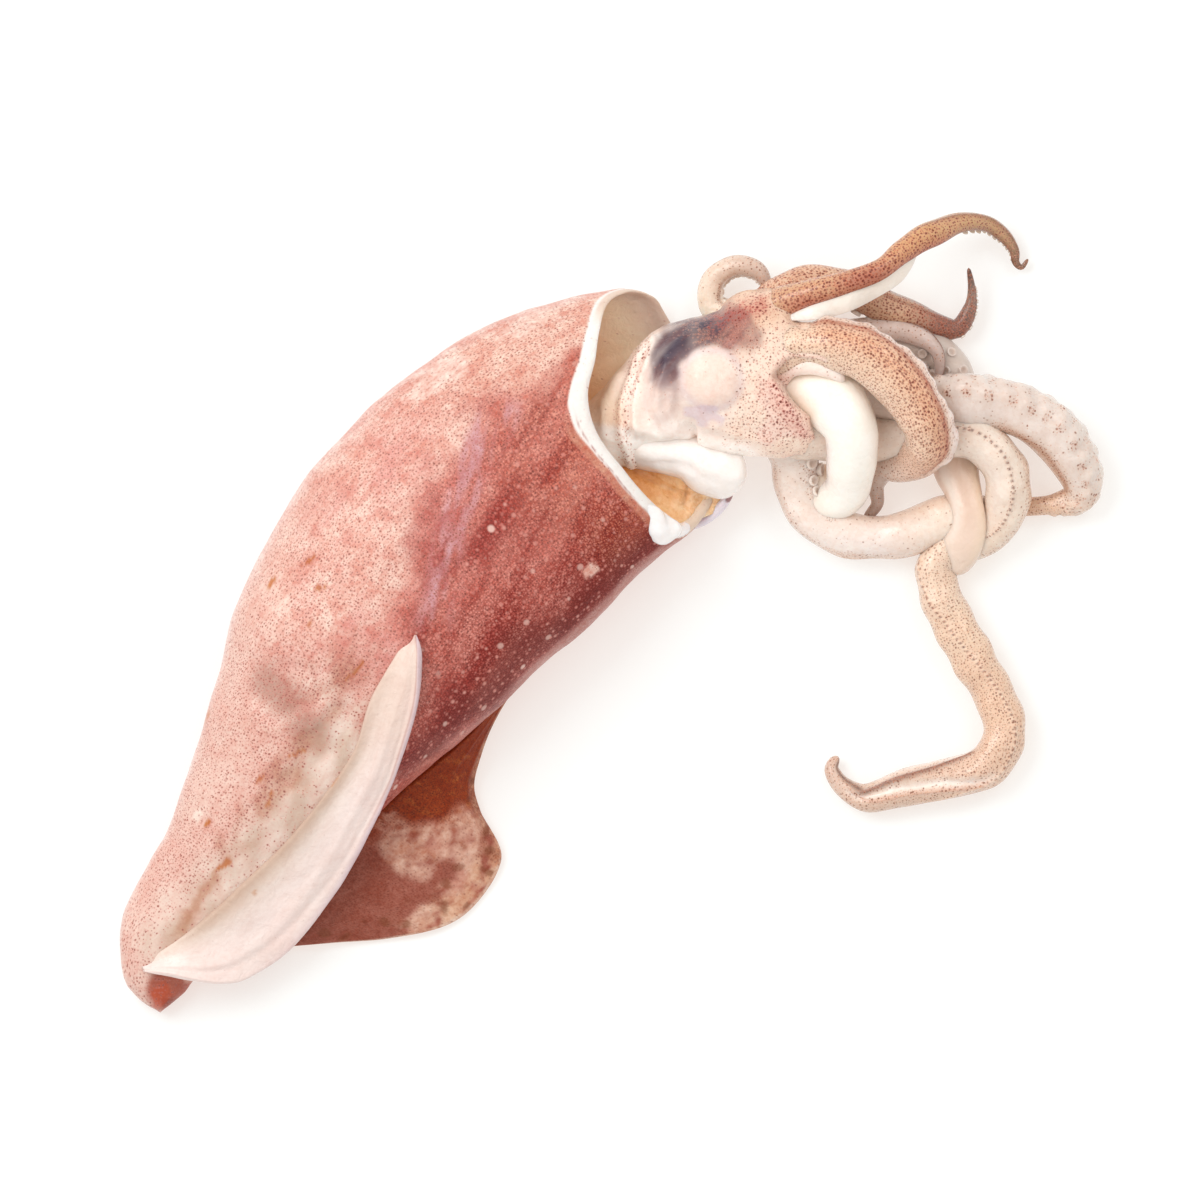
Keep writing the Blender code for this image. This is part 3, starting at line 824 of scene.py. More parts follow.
@dataclass
class Mantle:
    """The mantle's wall: dotted skin outside, pale muscle at the lip, and a cream lining inside,
    painted darker and more orange down the pocket as painted shade.
    """

    form: MantleForm
    sides: int = 228
    outer_rows: int = 300
    lip_rows: int = 16
    inner_rows: int = 84
    scrapes: tuple[tuple[float, float, float, float], ...] = (  # x, y, half length, turn
        (-84.2, 7.0, 2.3, 54), (-74.7, 12.8, 2.3, 38), (-101.0, -27.0, 2.4, 60),
        (-64.0, -15.5, 3.0, 50), (-77.4, -35.1, 2.6, 20), (-84.9, -47.1, 2.2, 70),
        (-74.7, -3.0, 1.4, 45), (-62.5, -14.0, 1.8, 50),
        (-96.6, -63.6, 2.6, 30), (-95.6, -62.4, 1.6, 60), (-72.0, 6.0, 1.2, 20),
        (-100.5, -53.0, 1.6, 60), (-87.0, -41.5, 1.6, 50))

    def build(self) -> None:
        """Model the wall, paint it and dress it."""
        rows = self.outer_rows + self.lip_rows + self.inner_rows
        piece, u, v = new_grid("mantle_wall", self.sides, rows)
        angle, row = u * 360.0 - 90.0, v * rows
        lip = self.form.mouth(angle)
        part = 1 - (1 - np.clip(row / self.outer_rows, 0, 1)) ** 1.3
        reach = self.form.length + (lip - self.form.length) * ease(part, 0.45, 1.0)
        turn = np.clip((row - self.outer_rows) / self.lip_rows, 0, 1)
        deep = np.clip((row - self.outer_rows - self.lip_rows) / self.inner_rows, 0, 1)
        outer_station = part * reach
        lip_station = lip + 0.5 * self.form.wall * np.sin(math.pi * turn)
        inner_station = (lip * (1 - deep) + (self.form.length - 10) * deep
                         - self.form.pocket * deep)
        station = np.where(turn <= 0, outer_station,
                           np.where(deep <= 0, lip_station, inner_station))
        round_angle = turned(angle, 90.0) + 90.0
        wall = through([(-90, 3.0), (0, 3.0), (40, 4.0), (85, 3.6), (104, 3.2), (122, 1.9), (200, 1.2),
                        (270, 3.0)], round_angle)
        inset = wall * 0.5 * (1 - np.cos(math.pi * turn))
        shrink = np.sqrt(np.clip(1 - deep ** 4, 0, 1)) * dome(outer_station / TAIL_ROUND)
        base = self.form.point(station, angle, inset, shrink)
        lift = self.relief(base, station, lip, angle) * ease(deep, 0.05, 0.0)
        places = self.form.point(station, angle, inset, shrink, lift)
        set_places(piece, places)
        radius = through([(s, r) for s, r in zip(self.form.line.lengths[::12],
                                                 self.form.line.table[::12, 2])], station)
        unroll(piece, np.radians(angle - 90) * radius * 0.94, station)
        self.dress(piece, places, station, lip, angle, turn, deep)

    def relief(self, base: Array, station: Array, lip: Array, angle: Array) -> Array:
        """Unevenness of the skin, with hollows by the fin and a thickened lip."""
        lift = 0.40 * lumps(base, 15.0, 3) + 0.10 * lumps(base, 4.5, 4)
        lift *= ease(station, 0, 14)
        lift -= 1.0 * patch(base, (-80.0, -19.0), (9, 7), 50, 0.2, 5)
        lift -= 0.7 * patch(base, (-72.0, -33.0), (15, 4), 55, 0.2, 6)
        near_lip = hump(lip - station, 0.0, 5.0)
        lift *= 1 - 0.6 * near_lip
        lift += near_lip * (0.3 * np.sin(np.radians(angle * 4 + 20)) + 0.2)
        bare = self.bare_band(turned(angle, 90.0) + 90.0, base)
        return lift - 0.28 * ease(lip - station, bare + 0.4, bare - 0.4)

    def dress(self, piece: Piece, places: Array, station: Array, lip: Array, angle: Array,
              turn: Array, deep: Array) -> None:
        """Paint the zones of the skin and finish the piece.

        Args:
            piece: The wall.
            places: Its vertex places.
            station: Length along the mantle of each vertex.
            lip: Length to the lip at each vertex's angle.
            angle: Angle round the section in degrees.
            turn: How far round the lip, from 0 outside to 1 inside.
            deep: How far down the pocket, from 0 to 1.
        """
        round_angle = turned(angle, 90.0) + 90.0
        wander = lumps(places, 9.0, 11) * 7 + lumps(places, 3.0, 12) * 4
        edge = through([(0, 16), (66, 20), (78, 38), (90, 54), (100, 64), (110, 70), (120, 78),
                        (132, 88), (142, 99), (150, 107), (160, 114), (172, 121), (186, 118),
                        (200, 116)], station)
        inward = edge - round_angle + wander
        below = ease(round_angle + wander, -80, -45)
        dark = ease(inward, -18, 12) * below * (1 - 0.3 * ease(round_angle, 95, 125))
        deeper = dark * ease(round_angle + 1.2 * wander, 92, 26) * ease(station + wander, 72, 132)
        deepest = dark * hump(round_angle + 0.6 * wander, 29.0, 15.0) * ease(station, 66, 96)
        clouds = 0.6 * lumps(places, 15.0, 13) + 0.4 * lumps(places, 5.0, 14)
        fine = 0.6 * lumps(places, 2.4, 18) + 0.5 * lumps(places, 1.3, 19)
        blush = np.clip(0.30 + 0.75 * clouds + 0.40 * fine, 0, 1)
        blush *= ease(inward, -85, -12) * 0.75 + 0.25
        cream = ease(station + 5 * clouds, 146, 176) * ease(round_angle, 84, 112) * (1 - dark)
        blush *= 1 - 0.75 * cream
        # Paler along the upper-left side and towards the tail: the skin's paler tone, with painted
        # sheen on the upper-left side.
        pale_and_sheen = (ease(round_angle, 120, 158) * ease(station, 165, 90)
                 + ease(station, 115, 60) * 0.8)
        pale_and_sheen = np.clip(pale_and_sheen * (0.85 + 0.3 * clouds), 0, 1) * (1 - dark)
        drawn = fibres(places, (0.5, 0.87), 4.0, 15) + 0.5 * fibres(places, (0.5, 0.87), 1.5, 17)
        tail = ease(station, 48, 18)
        tint = all_over(places, 250, 224, 210)
        lay(tint, blush * 0.8, 236, 164, 156)
        lay(tint, np.maximum(pale_and_sheen * 0.85, tail * 0.7), 241, 210, 197)
        lay(tint, pale_and_sheen * blush * 0.35, 244, 200, 188)
        lay(tint, cream * 0.7, 248, 226, 208)
        lay(tint, dark * 0.92, 235, 155, 141)
        lay(tint, dark * ease(clouds + fine, -0.3, 0.9) * 0.4, 238, 176, 160)
        lay(tint, dark * ease(drawn + clouds, -0.2, 1.0) * 0.75, 190, 76, 70)
        lay(tint, deeper * ease(clouds + 0.5 * drawn, -1.4, 0.8) * 0.65, 208, 110, 98)
        lay(tint, deepest * 0.85, 140, 64, 58)
        near = ease(lip - station, 34, 8) * dark * ease(round_angle, 24, 44)
        lay(tint, near * np.clip(0.7 + 0.5 * clouds, 0, 1) * 0.65, 228, 152, 120)
        red = np.clip(0.08 * blush + 0.62 * dark + 0.30 * deeper + 0.1 * deepest
                      + 0.18 * dark * np.clip(drawn, -1, 1), 0, 1)
        dots = 1.15 - 0.35 * tail - 0.5 * ease(lumps(places, 12.0, 16), 0.5, 1.2) * (1 - dark)
        rubbed = patches(places, [
            (-42.4, 59.1, 8.5, 3.6, 32, 0.3, 21, 1.0), (-20.0, 72.5, 9, 3, 25, 0.4, 22, 0.7),
            (-4.9, 10.4, 2.2, 1.6, 50, 0.3, 23, 1.0), (-102.9, -50.9, 1.8, 1.4, 0, 0.3, 24, 1.0)])
        crease = ease(off_path(places, [(-108, -82), (-98, -71), (-86, -59), (-77, -47),
                                        (-69, -35), (-64, -24)])
                      + 1.6 * lumps(places, 6.0, 25), 12.0, 3.0)
        crease *= ease(station + 0.5 * wander, 104, 84)
        bare = np.maximum(rubbed, crease)
        lay(tint, bare, 248, 230, 218)
        # Painted shade along the fin's crease, darker beige over the bare band.
        lay(tint, crease * np.clip(0.6 + 0.5 * lumps(places, 3.5, 42), 0, 1) * 0.75, 212, 184, 164)
        dots *= 1 - 0.85 * bare
        red *= 1 - bare
        veil = ease(off_path(places, [(-27, 50), (-33, 38), (-37, 26), (-41, 12), (-43.5, -2)])
                    + 1.0 * fibres(places, (0.3, 0.95), 2.0, 26), 6.0, 1.4)
        veil *= ease(fibres(places, (0.25, 0.97), 1.4, 29), -0.8, 0.6)
        lay(tint, veil * 0.85, 218, 176, 186)
        red *= 1 - 0.7 * veil
        bruise = np.clip(1.3 * hump(off_path(places, [(-86, -17), (-80, -22), (-74, -31)]),
                                    0.0, 5.0) + 0.3 * lumps(places, 4.0, 27), 0, 1)
        bruise *= hump(off_path(places, [(-84, -18), (-76, -29)]), 0.0, 7.0)
        lay(tint, bruise * 0.7, 176, 134, 116)
        for number, (x, y, size, way) in enumerate(self.scrapes):
            mark = patch(places, (x, y), (size, 0.55), way, 0.35, 30 + number)
            lay(tint, mark * 0.95, 206, 132, 76)
            dots *= 1 - 0.8 * mark
        soil = hump(round_angle + 6 * lumps(places, 3.0, 48), 90.0, 10.0) * ease(station, 14, 26)
        soil *= ease(station, 116, 96) * np.clip(0.55 + 0.7 * lumps(places, 4.0, 49), 0, 1)
        lay(tint, soil * 0.6, 204, 146, 114)
        red = np.maximum(red, 0.4 * soil)
        # Painted pale sheen along the mantle's left edge, which also thins the dots there.
        painted_edge_sheen = ease(round_angle, 156, 176) * ease(round_angle, 230, 200)
        lay(tint, painted_edge_sheen * 0.7, 252, 232, 226)
        dots *= 1 - 0.6 * painted_edge_sheen
        stain = hump(off_path(places, [(-98.5, -66.0), (-102.6, -72.0), (-106.4, -79.4)])
                     + 0.5 * lumps(places, 1.8, 47), 0.0, 1.3)
        lay(tint, stain * 0.7, 200, 146, 114)
        # Painted grey reflection of the table along the lower right edge of the dark skin.
        painted_reflection = ease(round_angle + 3 * fibres(places, (0.6, 0.8), 1.6, 43), 23, 14) * dark
        painted_reflection *= ease(station, 106, 130) * ease(round_angle, -40, -15)
        lay(tint, painted_reflection * 0.8, 214, 182, 176)
        red *= 1 - 0.75 * painted_reflection
        tip = patch(places, (-109.4, -93.4), (6.6, 5.6), 20, 0.12, 28)
        tip *= ease(places[:, 0] - 0.25 * places[:, 1], -93.6, -91.2)
        lay(tint, tip * 0.95, 186, 100, 78)
        lay(tint, tip * ease(lumps(places, 3.0, 44), 0.0, 1.0) * 0.6, 140, 64, 48)
        warm = patch(places, (-111.6, -95.6), (2.2, 4.2), -20, 0.3, 53)
        lay(tint, warm * 0.7, 208, 96, 62)
        pale = patch(places, (-106.6, -90.8), (2.6, 1.0), -40, 0.3, 54)
        lay(tint, pale * 0.6, 236, 190, 172)
        red = red * (1 - tip) + tip * 0.35
        dots *= 1 - 0.7 * tip
        calm = np.clip(0.6 * np.maximum(pale_and_sheen, tail) + 0.5 * crease, 0, 0.7)
        self.finish_lip(piece, places, tint, dots, red, lip - station, round_angle, turn, deep,
                        1 - calm)

    def bare_band(self, angle: Array, places: Array) -> Array:
        """Width of the bare white muscle along the lip, at angles round the section."""
        band = through([(-90, 0.3), (30, 0.3), (45, 0.5), (60, 0.8), (74, 1.0), (84, 1.5),
                        (94, 2.6), (106, 3.0), (118, 2.4), (128, 1.2), (140, 0.5),
                        (180, 0.2), (270, 0.2)], angle)
        return band + 0.15 * lumps(places, 5.0, 41)

    def finish_lip(self, piece: Piece, places: Array, tint: Array, dots: Array, red: Array,
                   gap: Array, angle: Array, turn: Array, deep: Array, mottle: Array) -> None:
        """Paint the white lip and the lining, and put the piece on.

        Args:
            piece: The wall.
            places: Its vertex places.
            tint: Tint of the skin.
            dots: Dots of the skin.
            red: Redness of the skin.
            gap: Distance from each vertex to the lip.
            angle: Angle round the section in degrees.
            turn: How far round the lip, from 0 to 1.
            deep: How far down the pocket, from 0 to 1.
            mottle: Cloudiness of the skin.
        """
        band = self.bare_band(angle, places)
        white = np.maximum(ease(gap, band + 0.35, band - 0.35), ease(turn, 0.0, 0.2))
        lay(tint, white, 255, 252, 248)
        shiny = ease(angle, 22, 4) * ease(angle, -70, -45) * white
        lay(tint, shiny * 0.8, 240, 214, 188)
        strip = ease(gap, band + 2.6, band + 1.6) * ease(angle, 5, 25) * ease(angle, 104, 90)
        lay(tint, strip * (1 - white) * 0.75, 226, 178, 152)
        line = hump(gap, 0.55 * band, 0.22) * ease(angle, 20, 35) * ease(angle, 106, 92)
        line *= np.clip(0.5 + 0.8 * lumps(places, 0.9, 45), 0, 1)
        lay(tint, line * 0.9, 176, 96, 82)
        keep = (1 - white) * (1 - 0.7 * strip) * ease(deep, 0.02, 0.0)
        far_side = ease(angle, 138, 156)
        lining = np.maximum(ease(deep, 0.0, 0.06), ease(turn, 0.75, 1.0) * 0.5)
        lining = np.maximum(lining, far_side * ease(turn, 0.1, 0.4))
        tint = blend(tint, lining, (1.0, 0.90, 0.72))
        # Painted shade deeper in the pocket: the pale cream lining turns darker and more orange
        # further down.
        tint = blend(tint, ease(deep, 0.04, 0.4), (0.98, 0.57, 0.28))
        rim = far_side * ease(turn, 0.0, 0.15) * ease(deep, 0.12, 0.0)
        lay(tint, rim * 0.9, 236, 212, 196)
        # The last value is a painted glow on the lining near the lip, standing in for light through
        # the thin wall.
        paint(piece, tint, dots * keep, red * keep, mottle * (1 - 0.9 * white),
              0.3 * ease(deep, 0.4, 0.1) * lining * ease(deep, 0.0, 0.06))
        close_up(piece)
        put_on(piece, MANTLE_SKIN.build(), Slot.MANTLE.value, "mantle")


# -------------------- thin flaps
@dataclass
class Flap:
    """Thin fleshy flap between a root line and a free edge, closed all round."""

    name: str
    root: Rows
    edge: Rows
    bow: float
    root_thick: float
    edge_thick: float
    columns: int = 200
    rows: int = 96
    wave: float = 0.6
    wave_pitch: float = 17.0
    folds: tuple[tuple[float, float, float, float], ...] = ()  # across, drift, width, height
    bed: MantleForm | None = None       # what it lies over
    seed: int = 5

    def __post_init__(self) -> None:
        """Draw the two lines."""
        self.root_line, self.edge_line = Line(self.root), Line(self.edge)

    def sheet(self, along: Array, across: Array) -> Array:
        """Middle surface of the flap at parts of its length and width."""
        start = self.root_line.at(self.root_line.length * along)
        end = self.edge_line.at(self.edge_line.length * along)
        place = start + (end - start) * across[:, None]
        place[:, 2] += self.bow * np.sin(math.pi * across) * np.sin(math.pi * along)
        length = along * self.edge_line.length
        swing = np.sin(length * 2 * math.pi / self.wave_pitch
                       + 1.3 * np.sin(length / self.wave_pitch))
        place[:, 2] += self.wave * across ** 2 * swing * np.sin(math.pi * along)
        if self.bed is not None:
            free = np.minimum(ease(along, 0.0, 0.07), ease(along, 1.0, 0.96))
            dive = (1 - free) * (1 - 0.85 * across)
            place[:, 2] -= 3.0 * dive
            over = (place[:, 2] - self.bed.top(place) + 1.2 * dive
                    - self.root_thick * (1 - dive) * (across - 0.34))
            place[:, 2] += 0.5 * (np.sqrt(over * over + 0.8) - over)
        return place

    def build(self) -> tuple[Piece, Array, Array, Array, Array]:
        """Model the flap.

        Returns:
            The piece and, for each vertex, its place, its part along, its part across and
            its side (1 on the upper face, -1 on the lower).
        """
        piece, along, loop = new_grid(self.name, self.columns, self.rows)
        across = np.sin(math.pi * loop)
        side = np.where(loop < 0.5, 1.0, -1.0)
        place = self.sheet(along, across)
        step = 0.004
        ahead = self.sheet(np.clip(along + step, 0, 1), across)
        behind = self.sheet(np.clip(along - step, 0, 1), across)
        outer = self.sheet(along, np.clip(across + step, 0, 1))
        inner = self.sheet(along, np.clip(across - step, 0, 1))
        normal = np.cross(outer - inner, ahead - behind)
        normal /= np.maximum(np.linalg.norm(normal, axis=1, keepdims=True), 1e-9)
        normal *= np.sign(normal[:, 2].mean())
        thick = self.root_thick + (self.edge_thick - self.root_thick) * across
        width = self.edge_line.at(self.edge_line.length * along)[:, :3]
        width = np.linalg.norm(width - self.root_line.at(self.root_line.length * along)[:, :3],
                               axis=1)
        thick *= ease(width, 0.0, 10.0)
        rim = np.sqrt(np.clip(1 - (np.clip(across - 1 + FLAP_ROUND, 0, 1) / FLAP_ROUND) ** 2, 0, 1))
        base = dome(across / FLAP_ROUND)
        close = np.minimum(along, 1 - along)
        ends = dome(close / FLAP_ROUND)
        lift = side * thick / 2 * rim * base * ends
        for middle, drift, width, height in self.folds:
            centre = middle + drift * np.sin(along * 7 + middle * 20)
            lift = lift + height * hump(across, centre, width) * np.sin(math.pi * along) ** 0.7
        lift = lift + 0.12 * lumps(place, 6.0, self.seed) * ends
        place = place + normal * lift[:, None]
        place[:, 2] = np.maximum(place[:, 2], OFF_TABLE)
        set_places(piece, place)
        width = float(np.linalg.norm(self.sheet(np.array([0.5]), np.array([1.0]))
                                     - self.sheet(np.array([0.5]), np.array([0.0]))))
        unroll(piece, across * width, along * self.edge_line.length + (side < 0) * 400)
        return piece, place, along, across, side


@dataclass
class Fins:
    """The two tail fins: one folded up so that its pale side shows, one spread flat."""

    form: MantleForm
    near_root: Path = field(default_factory=lambda: [
        (-118.2, -88.0), (-112.6, -85.4), (-99.9, -75.2), (-87.6, -63.4), (-81.6, -57.6),
        (-73.8, -48.3),
        (-64.2, -35.0), (-59.1, -20.8), (-51.3, -8.4), (-49.4, -5.6)])
    near_edge: Rows = field(default_factory=lambda: [
        (-117.4, -89.6, 12.5), (-110.6, -90.6, 15.5), (-103.6, -92.2, 15.5),
        (-96.4, -92.9, 13.0), (-89.6, -91.2, 11.0), (-77.8, -82.4, 11.5),
        (-64.9, -64.6, 17.5), (-54.4, -43.4, 28), (-48.0, -24.6, 38), (-46.9, -12, 43),
        (-48.0, -5.8, 44)])
    far_root: Rows = field(default_factory=lambda: [
        (-99.4, -87.4, 4), (-92.4, -79.6, 5), (-79.9, -68.4, 6.5), (-67.4, -57.1, 8),
        (-54.9, -45.9, 9.5), (-42.4, -36.4, 11.5), (-31.6, -26.6, 14), (-26.0, -19.0, 15)])
    far_edge: Rows = field(default_factory=lambda: [
        (-97.4, -88.6, 1.6), (-79.9, -83.6, 1.6), (-54.9, -81.6, 1.6), (-37.4, -76.6, 1.6),
        (-27.1, -62.1, 1.6), (-32.4, -50.4, 2), (-34.0, -42.0, 4), (-30.6, -31.0, 9),
        (-24.0, -19.5, 14)])

    def build(self) -> None:
        """Model and dress both fins."""
        self.build_near()
        self.build_far()

    def build_near(self) -> None:
        """Folded fin: cream with pink folds on its upper face, brown-red on its lower one."""
        heights = self.form.top(np.array(self.near_root))
        root = [(x, y, float(z) - 1.4) for (x, y), z in zip(self.near_root, heights)]
        flap = Flap("fin_folded", root, self.near_edge, 0.4, 3.0, 2.2, columns=230, rows=110,
                    wave=0.7, wave_pitch=24.0, bed=self.form,
                    folds=((0.30, 0.05, 0.14, -0.5), (0.62, 0.06, 0.09, 0.5),
                           (0.80, 0.04, 0.05, -0.35)))
        piece, place, along, across, side = flap.build()
        tint = all_over(place, 252, 234, 228)
        # Painted shade towards the root, darkest in the crease against the mantle.
        lay(tint, ease(across, 0.50, 0.05) * 0.8, 244, 226, 212)
        lay(tint, ease(across, 0.28, 0.04) * ease(along, 0.06, 0.2) * 0.9, 208, 178, 158)
        lay(tint, ease(along, 0.62, 0.85) * 0.8, 238, 214, 200)
        pink = np.clip(0.4 + 0.6 * lumps(place, 7.0, 51), 0, 1) * ease(across, 0.35, 0.8)
        lay(tint, pink * 0.5, 250, 224, 218)
        lilac = ease(across, 0.86, 0.98) * ease(along, 0.15, 0.6)
        lay(tint, lilac * 0.8, 214, 190, 200)
        lay(tint, hump(across, 0.90, 0.02) * ease(along, 0.5, 0.7) * 0.5, 198, 140, 128)
        for x, y, size in ((-68.5, -42.0, 1.6), (-77.5, -46.5, 1.2), (-88.5, -70.0, 1.0)):
            lay(tint, patch(place, (x, y), (size, 0.5), 65, 0.3, 52) * 0.6, 206, 148, 108)
        below = (ease(-side, -0.5, 0.5) * ease(across, 0.97, 0.92)
                 * ease(along, 0.10, 0.2) * ease(along, 0.94, 0.86))
        lay(tint, below, 176, 100, 82)
        paint(piece, tint, 0.9 * below, 0.5 * below)
        close_up(piece)
        put_on(piece, FIN_SKIN.build(), Slot.PALE.value, "fin_near")

    def build_far(self) -> None:
        """Flat fin: brown skin, rubbed through to pink towards its outer edge."""
        flap = Flap("fin_flat", self.far_root, self.far_edge, 1.5, 2.8, 1.3, columns=220,
                    rows=110, wave=0.5, wave_pitch=26.0,
                    folds=((0.35, 0.06, 0.05, 0.3), (0.7, 0.05, 0.06, 0.3)), seed=8)
        piece, place, along, across, side = flap.build()
        tint = all_over(place, 176, 108, 92)
        front = ease(place[:, 1] - 0.16 * place[:, 0] + 1.5 * lumps(place, 4.0, 61), -48.5, -42.5)
        lay(tint, front * 0.97, 172, 76, 32)
        lay(tint, front * ease(lumps(place, 1.0, 69), 0.3, 1.2) * 0.6, 206, 122, 62)
        rubbed = patches(place, [
            (-42.0, -57.0, 15, 7.4, 12, 0.35, 62, 1.0), (-38.0, -73.0, 15, 5.0, 24, 0.4, 63, 1.0),
            (-32.0, -64.0, 5.5, 8.0, 10, 0.4, 70, 1.0), (-58.0, -52.0, 3.5, 1.6, 10, 0.6, 64, 0.7)])
        torn = np.clip(0.85 + 0.5 * lumps(place, 2.6, 65) + 0.3 * lumps(place, 1.1, 68), 0, 1)
        lay(tint, rubbed * torn * 0.95, 234, 194, 174)
        lay(tint, rubbed * ease(lumps(place, 4.0, 46), 0.2, 1.0) * 0.5, 206, 136, 118)
        outer = ease(across + 0.05 * lumps(place, 5.0, 66), 0.72, 0.92) * ease(along, 0.35, 0.5)
        lay(tint, outer * torn * 0.75, 230, 190, 160)
        stains = ease(lumps(place, 2.6, 67), 0.5, 1.2) * ease(across, 0.55, 0.8)
        lay(tint, stains * 0.7, 142, 84, 54)
        rim = ease(across, 0.962, 0.985)
        lay(tint, rim * 0.85, 240, 212, 194)
        below = ease(-side, -0.5, 0.5)
        lay(tint, below * 0.9, 244, 224, 210)
        paint(piece, tint, (1 - below) * (1 - 0.8 * rubbed), (1 - below) * (0.4 + 0.4 * front)
              * (1 - 0.7 * rubbed))
        close_up(piece)
        put_on(piece, BROWN_SKIN.build(), Slot.BROWN.value, "fin_far")


# -------------------- sweeps
class Sweep:
    """Round or oval form along a line, rounded off at both ends."""

    def __init__(self, rows: Rows, start: float = 0.0, stop: float | None = None) -> None:
        """Draw the line.

        Args:
            rows: Rows of x, y, z, half width and, if it differs, half height.
            start: Length along the line at which the form starts.
            stop: Length at which it stops, or None for the line's end.
        """
        self.line = Line(rows)
        self.start, self.stop = start, self.line.length if stop is None else stop

    def frame(self, length: Array) -> tuple[Array, Array, Array, Array]:
        """Rows of the line and its directions of travel, right and up at some lengths."""
        row, way = self.line.at(length), self.line.tangent(length)
        right = np.stack((way[:, 1], -way[:, 0], np.zeros(len(way))), axis=-1)
        right /= np.linalg.norm(right, axis=1, keepdims=True)
        return row, way, right, np.cross(right, way)

    def round_ends(self, length: Array, over: float) -> Array:
        """How far the section is drawn in at lengths near the two ends."""
        near = np.minimum(length - self.start, self.stop - length)
        return dome(near / over)

    def point(self, length: Array, angle: Array, swell: Array | float = 1.0,
              lift: Array | float = 0.0) -> Array:
        """Places on the form at lengths and angles in degrees, held off the table."""
        row, _, right, up = self.frame(length)
        wide = row[:, 3] * swell + lift
        high = row[:, -1] * swell + lift
        centre = row[:, :3].copy()
        centre[:, 2] = np.maximum(centre[:, 2], row[:, -1])
        turn = np.radians(angle)
        place = (centre + right * (wide * np.cos(turn))[:, None]
                 + up * (high * np.sin(turn))[:, None])
        place[:, 2] = np.maximum(place[:, 2], OFF_TABLE)
        return place

    def blank(self, name: str, sides: int, step: float, over: float,
              swell: float = 1.0, fade: float = 0.0) -> Piece:
        """Plain closed form, to be blended with others.

        Args:
            name: Name of the piece.
            sides: Faces round it.
            step: Length of a face in mm.
            over: Length over which its ends are rounded.
            swell: Size against the line's own at the start.
            fade: How much smaller it is at the stop.

        Returns:
            The closed form.
        """
        rings = max(6, round((self.stop - self.start) / step))
        piece, u, v = new_grid(name, sides, rings)
        length = self.start + v * (self.stop - self.start)
        set_places(piece, self.point(length, u * 360 - 90,
                                     (swell - fade * v) * self.round_ends(length, over)))
        close_up(piece)
        return piece


# -------------------- limbs
@dataclass(frozen=True)
class Band:
    """Streak along a limb: its angle, width and span, tint, dots, redness and relief."""

    angle: tuple[tuple[float, float], ...]     # part of the length, degrees
    width: float
    colour: Colour | None = None
    strength: float = 0.0
    dots: float | None = None
    red: float | None = None
    lift: float = 0.0
    fade: float = 0.05
    beat: float = 0.0                          # how often it breaks up along the limb

    def share(self, part: Array, angle: Array) -> Array:
        """How far each vertex lies in the streak, from 0 to 1."""
        middle = through(list(self.angle), part)
        first, last = self.angle[0][0], self.angle[-1][0]
        span = (ease(part, first - self.fade, first + self.fade)
                * ease(part, last + self.fade, last - self.fade))
        share = hump(turned(angle, middle), 0.0, self.width) * span
        if self.beat:
            share *= ease(np.sin(2 * math.pi * self.beat * part + np.sin(31 * part)), -0.1, 0.7)
        return share


@dataclass(frozen=True)
class Cups:
    """Rows of suckers: their span, angles, spacing and size against the limb's radius."""

    span: tuple[float, float]
    rows: tuple[tuple[tuple[float, float], ...], ...]
    pitch: float = 0.85
    size: float = 0.34
    pad: float = 0.30
    colour: Colour = tone(240, 226, 214)
    ring: float = 0.9


